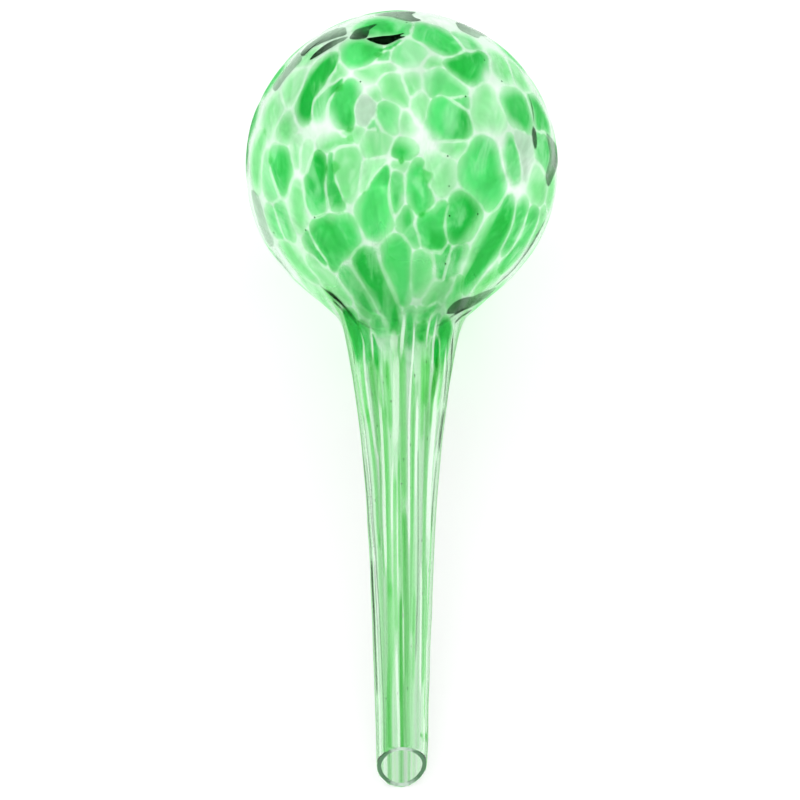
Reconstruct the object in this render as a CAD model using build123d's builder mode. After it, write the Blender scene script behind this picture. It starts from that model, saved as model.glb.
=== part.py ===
"""Watering globe: a blown glass ball drawn out into a hollow stem.

The globe is a clear bubble and stem with a thin coat of coloured glass melted onto them.
On the ball the coat is a milky veil with round chips set flush in it; along the stem the
same chips are drawn out into lengthwise streaks. The stem points down (-Z) into the soil,
the origin is on the axis at the middle of the mouth, and -Y is the side seen from the front.
"""

from build123d import *

import os
from math import cos, floor, pi, radians, sin, sqrt, tan

# Outer form, in mm and degrees; slopes are measured from the axis
ball_diameter = 80.0
neck_diameter = 29.4
mouth_diameter = 11.8
stem_length = 126.0
shoulder_slope = 37.5
neck_bend_radius = 29.0
neck_slope = 10.9
mouth_slope = 2.1
neck_handle = 38.0
mouth_handle = 42.0
mouth_slant = 18.0

# Glass thickness, in mm
ball_wall = 1.6
mouth_wall = 1.1
coat_thickness = 0.55

# Chips on the ball: their spacing, the web of veil left between them, the length of the
# drawn-out row at the neck, and how far sizes and places vary
chip_pitch = 13.0
web_width = 1.3
long_chip_height = 33.0
chip_size_swing = 0.12
chip_drift_share = 0.25
chip_cycle = (
    "emerald", "leaf", "mint", "emerald", "leaf", "emerald", "mint",
    "leaf", "emerald", "clear", "leaf", "emerald", "mint",
)

# Streaks along the stem: how many, and how unequal their widths are
streak_count = 26
streak_swing = 0.45
streak_cycle = (
    "leaf", "white", "emerald", "mint", "leaf", "emerald", "white",
    "leaf", "mint", "emerald", "white", "leaf", "mint",
)

# Steps of the wave that scatters sizes and places, in radians for each chip and each row
scatter_step = 2.4
scatter_row_step = 1.7

# Spare length by which cutting bodies pass the glass
cut_margin = 1.0

ball_radius = ball_diameter / 2
neck_foot_radius = neck_diameter / 2
mouth_radius = mouth_diameter / 2
shoulder = radians(shoulder_slope)
neck = radians(neck_slope)
mouth = radians(mouth_slope)

# The straight shoulder is as long as the ball, the neck bend and the neck foot leave it
shoulder_length = (
    (ball_radius + neck_bend_radius) * cos(shoulder)
    - neck_bend_radius * cos(neck)
    - neck_foot_radius
) / sin(shoulder)
shoulder_drop = ball_radius * sin(shoulder) + shoulder_length * cos(shoulder)
bend_drop = neck_bend_radius * (sin(shoulder) - sin(neck))
ball_height = stem_length + shoulder_drop + bend_drop
bend_center = (
    neck_foot_radius + neck_bend_radius * cos(neck),
    stem_length - neck_bend_radius * sin(neck),
)
tip_height = -(mouth_radius * tan(radians(mouth_slant)) + cut_margin)


def neck_foot(inset):
    """Return the (radius, height) of the neck foot, moved inwards through the wall by inset."""
    return (neck_foot_radius - inset * cos(neck), stem_length + inset * sin(neck))


def ball_line(inset):
    """Draw the half outline from the crown to the neck foot, moved inwards by inset."""
    drawn_radius = ball_radius - inset
    bend_radius = neck_bend_radius + inset
    CenterArc((0, ball_height), drawn_radius, 90, -(90 + shoulder_slope))
    shoulder_top = (drawn_radius * cos(shoulder), ball_height - drawn_radius * sin(shoulder))
    shoulder_foot = (
        bend_center[0] - bend_radius * cos(shoulder),
        bend_center[1] + bend_radius * sin(shoulder),
    )
    Line(shoulder_top, shoulder_foot)
    CenterArc(bend_center, bend_radius, 180 - shoulder_slope, shoulder_slope - neck_slope)


def stem_line(neck_inset, mouth_inset):
    """Draw the half outline from the neck foot past the mouth and return its lower end."""
    top = neck_foot(neck_inset)
    low = (mouth_radius - mouth_inset, 0.0)
    tip = (low[0] + tip_height * tan(mouth), tip_height)
    Bezier(
        top,
        (top[0] - neck_handle * sin(neck), top[1] - neck_handle * cos(neck)),
        (low[0] + mouth_handle * sin(mouth), low[1] + mouth_handle * cos(mouth)),
        low,
    )
    Line(low, tip)
    return tip


def ball_section(outer_inset, inner_inset):
    """Return the wall section of the ball between two depths in the glass."""
    with BuildSketch(Plane.XZ) as section:
        with BuildLine():
            ball_line(outer_inset)
            ball_line(inner_inset)
            crown = ball_height + ball_radius
            Line((0, crown - outer_inset), (0, crown - inner_inset))
            Line(neck_foot(outer_inset), neck_foot(inner_inset))
        make_face()
    return section.sketch


def stem_section(turn, outer_inset, neck_inset, mouth_inset):
    """Return the wall section of the stem on the half plane at turn degrees about the axis.

    The outer depth is even; the inner one may differ between the neck and the mouth.
    """
    half_plane = Plane(
        origin=(0, 0, 0),
        x_dir=(cos(radians(turn)), sin(radians(turn)), 0),
        z_dir=(sin(radians(turn)), -cos(radians(turn)), 0),
    )
    with BuildSketch(half_plane) as section:
        with BuildLine():
            outer_tip = stem_line(outer_inset, outer_inset)
            inner_tip = stem_line(neck_inset, mouth_inset)
            Line(neck_foot(outer_inset), neck_foot(neck_inset))
            Line(outer_tip, inner_tip)
        make_face()
    return section.sketch


def wall_point(distance):
    """Return radius, height and slope of the outer wall at a distance below the crown."""
    ball_arc = ball_radius * (pi / 2 + shoulder)
    if distance <= ball_arc:
        angle = pi / 2 - distance / ball_radius
        return ball_radius * cos(angle), ball_height + ball_radius * sin(angle), angle
    along = distance - ball_arc
    radius = ball_radius * cos(shoulder) - along * sin(shoulder)
    height = ball_height - ball_radius * sin(shoulder) - along * cos(shoulder)
    return radius, height, -shoulder


def chip_places():
    """Return each chip as (plane on the wall, half width, half height, shade)."""
    crown_radius = (chip_pitch - web_width) / 2
    places = [(Plane((0, 0, ball_height + ball_radius)), crown_radius, crown_radius)]
    ball_arc = ball_radius * (pi / 2 + shoulder)
    ball_rows = floor((ball_arc - chip_pitch / 2) / chip_pitch)
    rows = [((row + 1) * chip_pitch, chip_pitch) for row in range(ball_rows)]
    rows.append(((ball_rows + 0.5) * chip_pitch + long_chip_height / 2, long_chip_height))
    for row, (distance, cell_height) in enumerate(rows):
        radius, height, tilt = wall_point(distance)
        upper_radius = wall_point(distance - cell_height / 4)[0]
        lower_radius = wall_point(distance + cell_height / 4)[0]
        count = max(3, round(2 * pi * radius / chip_pitch))
        cell_width = 2 * pi * min(upper_radius, lower_radius) / count
        for index in range(count):
            wave = sin(scatter_step * index + scatter_row_step * row)
            drift = chip_drift_share * web_width * wave / radius
            turn = 2 * pi * (index + 0.5 * (row % 2)) / count + drift
            outward = (cos(tilt) * cos(turn), cos(tilt) * sin(turn), sin(tilt))
            center = (radius * cos(turn), radius * sin(turn), height)
            plane = Plane(center, x_dir=(-sin(turn), cos(turn), 0), z_dir=outward)
            width = (cell_width - web_width) * (1 - chip_size_swing * (1 + wave) / 2)
            length = (cell_height - web_width) * (1 - chip_size_swing * (1 - wave) / 2)
            places.append((plane, width / 2, length / 2))
    return [(*place, chip_cycle[index % len(chip_cycle)]) for index, place in enumerate(places)]


def streak_turns():
    """Return each streak of the stem as (start turn, width, shade), in degrees."""
    weights = [1 + streak_swing * sin(scatter_step * index) for index in range(streak_count)]
    turns = []
    start = 0.0
    for index, weight in enumerate(weights):
        width = 360 * weight / sum(weights)
        turns.append((start, width, streak_cycle[index % len(streak_cycle)]))
        start += width
    return turns


os.makedirs("parts", exist_ok=True)

chips = chip_places()
chip_reach = max(max(half_width, half_height) for plane, half_width, half_height, shade in chips)
chip_depth = coat_thickness + cut_margin + ball_radius - sqrt(ball_radius**2 - chip_reach**2)
ball_coat = ball_section(0, coat_thickness)
mouth_plane = Plane((0, 0, 0), x_dir=(1, 0, 0), z_dir=(
    0, sin(radians(mouth_slant)), cos(radians(mouth_slant)),
))

# Clear bubble inside the ball
with BuildPart() as ball_bubble:
    revolve(ball_section(coat_thickness, ball_wall), axis=Axis.Z)
ball_bubble.part.label = "ball_bubble"
export_step(ball_bubble.part, "parts/ball_bubble.step")

# Clear tube inside the stem, ground off at a slant at the mouth
with BuildPart() as stem_tube:
    revolve(stem_section(0, coat_thickness, ball_wall, mouth_wall), axis=Axis.Z)
    split(bisect_by=mouth_plane, keep=Keep.TOP)
stem_tube.part.label = "stem_tube"
export_step(stem_tube.part, "parts/stem_tube.step")

# Milky veil over the ball, with a window for every chip
with BuildPart() as ball_veil:
    revolve(ball_coat, axis=Axis.Z)
    for plane, half_width, half_height, shade in chips:
        with BuildSketch(plane):
            Ellipse(half_width, half_height)
    extrude(amount=chip_depth, both=True, mode=Mode.SUBTRACT)
ball_veil.part.label = "ball_veil"
export_step(ball_veil.part, "parts/ball_veil.step")

# Chips of each shade, filling their windows in the veil
for node_shade in sorted(set(chip_cycle)):
    with BuildPart() as shade_chips:
        for plane, half_width, half_height, shade in chips:
            if shade == node_shade:
                with BuildSketch(plane):
                    Ellipse(half_width, half_height)
        extrude(amount=chip_depth, both=True)
        revolve(ball_coat, axis=Axis.Z, mode=Mode.INTERSECT)
    shade_chips.part.label = f"chips_{node_shade}"
    export_step(shade_chips.part, f"parts/chips_{node_shade}.step")

# Streaks of each shade, side by side round the stem
for node_shade in sorted(set(streak_cycle)):
    with BuildPart() as shade_streaks:
        for start, width, shade in streak_turns():
            if shade == node_shade:
                section = stem_section(start, 0, coat_thickness, coat_thickness)
                revolve(section, axis=Axis.Z, revolution_arc=width)
        split(bisect_by=mouth_plane, keep=Keep.TOP)
    shade_streaks.part.label = f"streaks_{node_shade}"
    export_step(shade_streaks.part, f"parts/streaks_{node_shade}.step")
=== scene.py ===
import logging
import math
from dataclasses import dataclass, field, replace
from enum import Enum
from functools import cached_property

import bpy
import numpy as np
from mathutils import Matrix, Vector


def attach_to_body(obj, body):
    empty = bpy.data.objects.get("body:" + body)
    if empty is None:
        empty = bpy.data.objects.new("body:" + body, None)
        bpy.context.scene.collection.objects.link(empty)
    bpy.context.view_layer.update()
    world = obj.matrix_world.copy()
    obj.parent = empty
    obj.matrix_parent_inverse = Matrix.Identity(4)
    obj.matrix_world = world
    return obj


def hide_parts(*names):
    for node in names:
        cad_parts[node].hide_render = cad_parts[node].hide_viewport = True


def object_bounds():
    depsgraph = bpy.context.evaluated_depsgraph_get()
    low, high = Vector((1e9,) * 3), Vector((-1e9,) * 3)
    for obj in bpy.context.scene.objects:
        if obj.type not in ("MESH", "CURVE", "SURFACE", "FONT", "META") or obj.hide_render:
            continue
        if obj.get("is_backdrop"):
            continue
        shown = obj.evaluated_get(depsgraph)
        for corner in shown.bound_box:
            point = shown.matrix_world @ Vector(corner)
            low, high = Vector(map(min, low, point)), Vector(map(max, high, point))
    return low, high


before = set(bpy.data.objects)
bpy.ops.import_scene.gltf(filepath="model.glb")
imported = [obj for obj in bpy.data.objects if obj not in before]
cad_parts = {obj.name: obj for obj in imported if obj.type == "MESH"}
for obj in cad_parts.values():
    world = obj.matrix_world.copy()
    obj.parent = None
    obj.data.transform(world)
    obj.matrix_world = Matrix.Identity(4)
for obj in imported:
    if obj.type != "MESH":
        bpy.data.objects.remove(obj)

LOG = logging.getLogger("watering_globe")
MM = 0.001
FULL_TURN = 2 * math.pi
PHOTO_SIZE = 800
BODY = "root"
LIGHT_BOUNCES = 48
GLASS_IOR = 1.5
Color = tuple[float, float, float]
Pixel = tuple[float, float]
Span = tuple[float, float]
STREAK_DRAW = (1.0, 1.0, 0.05)
STREAK_CLOUDS = 260.0


class Shade(Enum):
    """Glass colours that were rolled onto the globe."""

    EMERALD = "emerald"
    LEAF = "leaf"
    MINT = "mint"
    # The clear shade also carries the painted dark reflections and painted shade lines, through its
    # near-black deep colour.
    CLEAR = "clear"
    WHITE = "white"


E, L, M, C, W = Shade.EMERALD, Shade.LEAF, Shade.MINT, Shade.CLEAR, Shade.WHITE


def pixels(trace: str) -> list[Pixel]:
    """Return the pixels of a trace, which is written as x,y pairs."""
    pairs = (pair.split(",") for pair in trace.split())
    return [(float(x), float(y)) for x, y in pairs]


def turns_round(count: int) -> np.ndarray:
    """Return evenly spaced angles of one full turn."""
    return np.linspace(0, FULL_TURN, count, endpoint=False)


def eased(share: np.ndarray) -> np.ndarray:
    """Return shares held between 0 and 1, with a soft start and end."""
    share = np.clip(share, 0, 1)
    return share ** 2 * (3 - 2 * share)


def run_along(points: np.ndarray) -> np.ndarray:
    """Return how far each point of a line lies from its first one, along the line."""
    return np.concatenate([[0.0], np.cumsum(np.linalg.norm(np.diff(points, axis=0), axis=1))])


def spaced(points: np.ndarray, along: np.ndarray, places: np.ndarray) -> np.ndarray:
    """Return the points at some distances along a line."""
    return np.stack([np.interp(places, along, column) for column in points.T], axis=1)


@dataclass(frozen=True)
class Outline:
    """Turned outline of the globe, in metres, from the crown down to the mouth.

    Distances along the outline are measured from the crown.
    """

    ball_radius: float
    crown_height: float
    neck_radius: float = 14.7 * MM
    mouth_radius: float = 5.9 * MM
    stem_length: float = 126.0 * MM
    shoulder_slope: float = math.radians(37.5)
    bend_radius: float = 29.0 * MM
    neck_slope: float = math.radians(10.9)
    mouth_slope: float = math.radians(2.1)
    neck_handle: float = 38.0 * MM
    mouth_handle: float = 42.0 * MM
    mouth_slant: float = math.radians(18.0)
    step: float = 0.2 * MM
    ball_steps: int = 400
    shoulder_steps: int = 60
    bend_steps: int = 120
    stem_steps: int = 400

    @property
    def ball_height(self) -> float:
        """Height of the ball's middle above the mouth."""
        return self.crown_height - self.ball_radius

    @cached_property
    def _table(self) -> np.ndarray:
        """Return rows of (distance, radius, height, outward radial part, outward upward part)."""
        ball_turn = np.linspace(math.pi / 2, -self.shoulder_slope, self.ball_steps)
        ball = np.stack([
            self.ball_radius * np.cos(ball_turn),
            self.ball_height + self.ball_radius * np.sin(ball_turn),
        ], axis=1)
        bend_turn = np.linspace(self.shoulder_slope, self.neck_slope, self.bend_steps)
        bend_middle = np.array([
            self.neck_radius + self.bend_radius * math.cos(self.neck_slope),
            self.stem_length - self.bend_radius * math.sin(self.neck_slope),
        ])
        bend = bend_middle + self.bend_radius * np.stack(
            [-np.cos(bend_turn), np.sin(bend_turn)], axis=1)
        share = np.linspace(0, 1, self.shoulder_steps)[:, None]
        shoulder = ball[-1] + (bend[0] - ball[-1]) * share
        top = bend[-1]
        low = np.array([self.mouth_radius, 0.0])
        handles = (
            top - self.neck_handle * np.array([math.sin(self.neck_slope), math.cos(self.neck_slope)]),
            low + self.mouth_handle * np.array([math.sin(self.mouth_slope), math.cos(self.mouth_slope)]),
        )
        share = np.linspace(0, 1, self.stem_steps)[:, None]
        stem = ((1 - share) ** 3 * top + 3 * (1 - share) ** 2 * share * handles[0]
                + 3 * (1 - share) * share ** 2 * handles[1] + share ** 3 * low)
        path = np.concatenate([ball, shoulder[1:], bend[1:], stem[1:]])
        along = run_along(path)
        even = np.append(np.arange(0, along[-1], self.step), along[-1])
        radius = np.interp(even, along, path[:, 0])
        height = np.interp(even, along, path[:, 1])
        slope_r, slope_z = np.gradient(radius, even), np.gradient(height, even)
        length = np.hypot(slope_r, slope_z)
        return np.stack([even, radius, height, -slope_z / length, slope_r / length])

    @property
    def length(self) -> float:
        """Distance along the outline from the crown to the mouth."""
        return float(self._table[0, -1])

    @property
    def neck_distance(self) -> float:
        """Distance from the crown to the foot of the neck."""
        return self.distance_at(self.stem_length)

    def distances_at(self, heights: np.ndarray) -> np.ndarray:
        """Return the distances along the outline at heights above the mouth."""
        return np.interp(-heights, -self._table[2], self._table[0])

    def distance_at(self, height: float) -> float:
        """Return the distance along the outline at one height above the mouth."""
        return float(self.distances_at(np.asarray(height)))

    def radius_at(self, height: np.ndarray) -> np.ndarray:
        """Return the outline's radius at heights above the mouth."""
        return np.interp(-height, -self._table[2], self._table[1])

    def at(self, distance: np.ndarray) -> tuple[np.ndarray, ...]:
        """Return radius, height and the outward direction's two parts at a distance."""
        table = self._table
        return tuple(np.interp(distance, table[0], table[row]) for row in range(1, 5))


@dataclass(frozen=True)
class GlassSkin:
    """The blown surface: the outline, its hand-made unevenness and its slanted mouth."""

    outline: Outline
    inset: float = 0.27 * MM
    wave_height: float = 0.055 * MM
    wave_lengths: tuple[float, ...] = (0.034, 0.027, 0.021, 0.017, 0.013, 0.011)
    slant_reach: float = 30.0 * MM
    seed: int = 7
    locate_rounds: int = 3
    cut_turns: tuple[float, ...] = (0, 34, 62, 79, 101, 121, 150, 205, 250, 300, 360)
    cut_drops: tuple[float, ...] = (0.75, 0.85, 0.45, 0.15, 0.05, 0.14, 0.32, 0.0, 0.0, 0.25, 0.75)

    @cached_property
    def _waves(self) -> list[tuple[np.ndarray, float]]:
        """Directions and phases of the waves that make the surface uneven."""
        rng = np.random.default_rng(self.seed)
        waves = []
        for wave_length in self.wave_lengths:
            direction = rng.normal(size=3)
            direction *= FULL_TURN / wave_length / np.linalg.norm(direction)
            waves.append((direction, float(rng.uniform(0, FULL_TURN))))
        return waves

    def unevenness(self, points: np.ndarray) -> np.ndarray:
        """Return how far the blown surface stands out at each point."""
        total = sum(np.sin(points @ direction + phase) for direction, phase in self._waves)
        return total * self.wave_height / len(self._waves) ** 0.5

    def cut_height(self, radius: np.ndarray, turn: np.ndarray) -> np.ndarray:
        """Return the height of the slanted, hand-cut mouth round the stem.

        Args:
            radius: Distances from the axis.
            turn: Angles round the axis.

        Returns:
            Heights above the middle of the mouth.
        """
        slanted = -radius * np.sin(turn) * math.tan(self.outline.mouth_slant)
        drops = np.interp(np.degrees(turn) % 360, self.cut_turns, self.cut_drops)
        return slanted + drops * MM

    def place(self, distance: np.ndarray | float, turn: np.ndarray,
              lift: np.ndarray | float) -> np.ndarray:
        """Return points on the blown surface.

        Args:
            distance: Distance below the crown along the outline.
            turn: Angle round the axis, in radians from +X.
            lift: Height above the glass surface; negative goes into the wall.

        Returns:
            An array of points, one row each.
        """
        distance, turn = np.broadcast_arrays(np.asarray(distance, float), np.asarray(turn, float))
        radius, height, out_r, out_z = self.outline.at(distance)
        flat = np.stack([radius * np.cos(turn), radius * np.sin(turn), height], axis=-1)
        raised = lift - self.inset + self.unevenness(flat)
        radius = np.maximum(radius + out_r * raised, 0.0)
        height = height + out_z * raised
        near_mouth = np.clip(1 - height / self.slant_reach, 0, 1) ** 2
        height = height + near_mouth * self.cut_height(radius, turn)
        return np.stack([radius * np.cos(turn), radius * np.sin(turn), height], axis=-1)

    def bare(self, distance: np.ndarray, turn: np.ndarray) -> np.ndarray:
        """Return points on the plain outline, without unevenness or slanted mouth."""
        radius, height, _, _ = self.outline.at(distance)
        return np.stack([radius * np.cos(turn), radius * np.sin(turn), height], axis=-1)

    def outward(self, distance: np.ndarray, turn: np.ndarray) -> np.ndarray:
        """Return the outward directions of the plain outline."""
        _, _, out_r, out_z = self.outline.at(distance)
        return np.stack([out_r * np.cos(turn), out_r * np.sin(turn), out_z], axis=-1)

    def directions(self, distance: float, turn: float) -> tuple[np.ndarray, np.ndarray, np.ndarray]:
        """Return the outward, sideways and upward directions of the surface at a place.

        Args:
            distance: Distance below the crown.
            turn: Angle round the axis.

        Returns:
            Three directions of length 1.
        """
        outward = self.outward(np.array(distance), np.array(turn))
        across = np.array([-math.sin(turn), math.cos(turn), 0.0])
        return outward, across, np.cross(outward, across)

    def locate(self, points: np.ndarray) -> tuple[np.ndarray, np.ndarray]:
        """Return the distance and turn of the surface points nearest to the given ones.

        Args:
            points: Places near the glass, the last axis being x, y, z.

        Returns:
            Distances below the crown and angles round the axis.
        """
        outline = self.outline
        turn = np.arctan2(points[..., 1], points[..., 0])
        reach = np.hypot(points[..., 0], points[..., 1])
        rise = np.arctan2(points[..., 2] - outline.ball_height, reach)
        distance = np.where(
            rise > -outline.shoulder_slope,
            outline.ball_radius * (math.pi / 2 - rise),
            outline.distances_at(points[..., 2]),
        )
        for _ in range(self.locate_rounds):
            radius, height, out_r, out_z = outline.at(distance)
            distance = distance + (reach - radius) * out_z - (points[..., 2] - height) * out_r
            distance = np.clip(distance, 0, outline.length)
        return distance, turn


@dataclass(frozen=True)
class PhotoView:
    """Camera that repeats the photograph: its tilt, its lens and where the ball lies in it."""

    outline: Outline
    tilt: float = math.radians(36.0)
    focal_pixels: float = 4000.0
    ball_x: float = 401.75
    ball_y: float = 167.0
    ball_pixels: float = 156.7
    sensor: float = 36.0
    sight_near: float = 0.13
    sight_far: float = 0.05
    sight_steps: int = 1200
    nearest: float = 0.05
    farthest: float = 20.0

    @property
    def depth(self) -> float:
        """How far in front of the lens the ball's middle lies."""
        return self.focal_pixels * self.outline.ball_radius / self.ball_pixels

    @property
    def forward(self) -> np.ndarray:
        """Direction in which the camera looks."""
        return np.array([0.0, math.cos(self.tilt), math.sin(self.tilt)])

    @property
    def up(self) -> np.ndarray:
        """Direction that points up in the picture."""
        return np.array([0.0, -math.sin(self.tilt), math.cos(self.tilt)])

    @property
    def right(self) -> np.ndarray:
        """Direction that points right in the picture."""
        return np.array([1.0, 0.0, 0.0])

    @property
    def position(self) -> np.ndarray:
        """Place of the lens, found from the ball's place and size in the picture."""
        aside = (self.ball_x - PHOTO_SIZE / 2) / self.focal_pixels * self.depth
        above = (PHOTO_SIZE / 2 - self.ball_y) / self.focal_pixels * self.depth
        middle = np.array([0.0, 0.0, self.outline.ball_height])
        return middle - aside * self.right - above * self.up - self.depth * self.forward

    def on_glass(self, x: float, y: float) -> tuple[float, float]:
        """Return the distance and turn of the near glass that a pixel shows.

        Args:
            x: Pixels from the left of the photograph.
            y: Pixels from its top.

        Returns:
            Distance below the crown and turn round the axis.
        """
        half = PHOTO_SIZE / 2
        sight = self.forward + ((x - half) * self.right + (half - y) * self.up) / self.focal_pixels
        depth = np.linspace(self.depth - self.sight_near, self.depth + self.sight_far, self.sight_steps)
        points = self.position + depth[:, None] * sight
        gap = np.hypot(points[:, 0], points[:, 1]) - self.outline.radius_at(points[:, 2])
        inside = gap < 0
        point = points[np.argmin(gap)]
        if inside.any():
            after = int(np.argmax(inside))
            share = gap[after - 1] / (gap[after - 1] - gap[after])
            point = points[after - 1] + share * (points[after] - points[after - 1])
        return self.outline.distance_at(point[2]), math.atan2(point[1], point[0])

    def pixels_per_metre(self, points: np.ndarray) -> np.ndarray:
        """Return the picture scale at points."""
        return self.focal_pixels / ((points - self.position) @ self.forward)

    def make_camera(self) -> None:
        """Add the camera and make it the scene's own."""
        data = bpy.data.cameras.new("photo_camera")
        data.sensor_width = self.sensor
        data.lens = self.focal_pixels / PHOTO_SIZE * self.sensor
        data.clip_start = self.nearest
        data.clip_end = self.farthest
        camera = bpy.data.objects.new("photo_camera", data)
        bpy.context.scene.collection.objects.link(camera)
        axes = np.stack([self.right, self.up, -self.forward], axis=1)
        camera.matrix_world = Matrix.Translation(Vector(self.position)) @ Matrix(axes).to_4x4()
        bpy.context.scene.camera = camera


@dataclass
class MeshMaker:
    """Gathers points and faces of one piece, with values kept on the points."""

    name: str
    points: list[np.ndarray] = field(default_factory=list)
    faces: list[tuple[int, ...]] = field(default_factory=list)
    slots: list[int] = field(default_factory=list)
    values: dict[str, list[np.ndarray]] = field(default_factory=dict)
    count: int = 0

    def add_points(self, points: np.ndarray, **values: np.ndarray) -> int:
        """Add points and their values.

        Args:
            points: Rows of x, y, z.
            values: Named arrays with one number for each point.

        Returns:
            The index of the first new point.
        """
        first = self.count
        self.points.append(points)
        for key, array in values.items():
            self.values.setdefault(key, []).append(np.asarray(array, float))
        self.count += len(points)
        return first

    def add_band(self, low: int, high: int, columns: int, closed: bool = True, flip: bool = False,
                 slot: int = 0) -> None:
        """Join two rows of points with a band of faces.

        Args:
            low: Index of the one row's first point.
            high: Index of the other row's first point.
            columns: How many points a row has.
            closed: Whether each row runs round into itself.
            flip: Whether the faces look the other way.
            slot: Material slot of the faces.
        """
        for column in range(columns if closed else columns - 1):
            after = (column + 1) % columns
            self.add_face((low + column, high + column, high + after, low + after), flip, slot)

    def add_grid(self, first: int, rows: int, columns: int, closed: bool = True,
                 flip: bool = False) -> None:
        """Join rows of points, which follow each other from the first point, with faces.

        Args:
            first: Index of the first point.
            rows: How many rows there are.
            columns: How many points a row has.
            closed: Whether each row runs round into itself.
            flip: Whether the faces look the other way.
        """
        for row in range(rows - 1):
            low = first + row * columns
            self.add_band(low, low + columns, columns, closed, flip)

    def add_fan(self, tip: int, first: int, columns: int, flip: bool = False) -> None:
        """Close a ring of points with triangles that meet in a tip."""
        for column in range(columns):
            self.add_face((tip, first + column, first + (column + 1) % columns), flip)

    def add_dome(self, tip: int, rows: int, columns: int, flip: bool = False) -> int:
        """Add the faces of a dome, whose rings of points follow its tip.

        Args:
            tip: Index of the point at its top.
            rows: How many rings it has.
            columns: How many points a ring has.
            flip: Whether the faces look the other way.

        Returns:
            The index of the last ring's first point.
        """
        self.add_fan(tip, tip + 1, columns, flip)
        self.add_grid(tip + 1, rows, columns, flip=flip)
        return tip + 1 + (rows - 1) * columns

    def add_face(self, corners: tuple[int, ...], flip: bool = False, slot: int = 0) -> None:
        """Add one face."""
        self.faces.append(corners[::-1] if flip else corners)
        self.slots.append(slot)

    def make(self) -> bpy.types.Object:
        """Make the mesh object, smooth shaded, with its values as attributes.

        Returns:
            The object, in the scene.
        """
        mesh = bpy.data.meshes.new(self.name)
        mesh.from_pydata(np.concatenate(self.points).tolist(), [], self.faces)
        mesh.polygons.foreach_set("material_index", self.slots)
        mesh.polygons.foreach_set("use_smooth", [True] * len(self.faces))
        for key, arrays in self.values.items():
            attribute = mesh.attributes.new(key, "FLOAT", "POINT")
            attribute.data.foreach_set("value", np.concatenate(arrays))
        mesh.update()
        piece = bpy.data.objects.new(self.name, mesh)
        bpy.context.scene.collection.objects.link(piece)
        return piece


class NodeBoard:
    """Small helper that adds and joins shader nodes in a tree."""

    # Places of a mix node's colour sockets, which share their names with its other sockets.
    colour_a, colour_b, colour_out = 6, 7, 2

    def __init__(self, tree: bpy.types.NodeTree) -> None:
        """Keep the tree and clear it."""
        self.tree = tree
        tree.nodes.clear()

    def add(self, kind: str, **settings: object) -> bpy.types.Node:
        """Add a node of a kind and set its properties.

        Args:
            kind: Kind of node.
            settings: Its properties, by their names.

        Returns:
            The node.
        """
        node = self.tree.nodes.new(kind)
        for key, value in settings.items():
            setattr(node, key, value)
        return node

    def join(self, start: bpy.types.NodeSocket, end: bpy.types.NodeSocket) -> None:
        """Link an output to an input."""
        self.tree.links.new(start, end)

    def math(self, operation: str, first: object, second: object = 0.0) -> bpy.types.NodeSocket:
        """Add a math node whose inputs are sockets or numbers, and return its output.

        Args:
            operation: What it works out.
            first: Socket or number.
            second: Socket or number.

        Returns:
            The node's output.
        """
        node = self.add("ShaderNodeMath", operation=operation)
        for socket, value in zip(node.inputs, (first, second)):
            self.feed(socket, value)
        return node.outputs[0]

    def ramp(self, value: object, low: float, high: float) -> bpy.types.NodeSocket:
        """Return a value smoothly stretched from low..high to 0..1.

        Args:
            value: Socket or number.
            low: What becomes 0.
            high: What becomes 1.

        Returns:
            The stretched value.
        """
        node = self.add("ShaderNodeMapRange", interpolation_type="SMOOTHSTEP", clamp=True)
        self.feed(node.inputs["Value"], value)
        node.inputs["From Min"].default_value = low
        node.inputs["From Max"].default_value = high
        return node.outputs["Result"]

    def mix(self, share: object, first: object, second: object) -> bpy.types.NodeSocket:
        """Return a colour mixed from two colours by a share.

        Args:
            share: Share of the second colour.
            first: Socket or colour.
            second: Socket or colour.

        Returns:
            The mixed colour.
        """
        node = self.add("ShaderNodeMix", data_type="RGBA")
        self.feed(node.inputs["Factor"], share)
        self.feed(node.inputs[self.colour_a], first)
        self.feed(node.inputs[self.colour_b], second)
        return node.outputs[self.colour_out]

    def value(self, name: str) -> bpy.types.NodeSocket:
        """Return a value that is kept on the points of the mesh."""
        return self.add("ShaderNodeAttribute", attribute_name=name).outputs["Fac"]

    def feed(self, socket: bpy.types.NodeSocket, value: object) -> None:
        """Link a socket to an output, or set its number or colour.

        Args:
            socket: The input.
            value: An output, a number or a colour.
        """
        if isinstance(value, bpy.types.NodeSocket):
            self.join(value, socket)
        else:
            socket.default_value = (*value, 1.0) if socket.type == "RGBA" else value

    def fill(self, node: bpy.types.Node, values: dict[str, object]) -> bpy.types.Node:
        """Feed inputs of a node by their names, and return the node.

        Args:
            node: The node.
            values: What each input gets, by its name.

        Returns:
            The node.
        """
        for name, value in values.items():
            self.feed(node.inputs[name], value)
        return node

    def effect(self, group: bpy.types.NodeTree, values: dict[str, object]) -> bpy.types.Node:
        """Place a shared effect with its values."""
        return self.fill(self.add("ShaderNodeGroup", node_tree=group), values)

    def show(self, shader: bpy.types.Node) -> bpy.types.Node:
        """Show a shader on the surface, and return the material's output node.

        Args:
            shader: The shader's node.

        Returns:
            The output node.
        """
        output = self.add("ShaderNodeOutputMaterial")
        self.join(shader.outputs[0], output.inputs["Surface"])
        return output

    def principled(self, values: dict[str, object]) -> bpy.types.Node:
        """Show a Principled shader with its values, and return the material's output node."""
        return self.show(self.fill(self.add("ShaderNodeBsdfPrincipled"), values))


def blank_material(name: str) -> tuple[bpy.types.Material, NodeBoard]:
    """Return a new material and the empty board of its nodes.

    Args:
        name: Name of the material.

    Returns:
        The material and its board.
    """
    material = bpy.data.materials.new(name)
    material.use_nodes = True
    return material, NodeBoard(material.node_tree)


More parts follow.
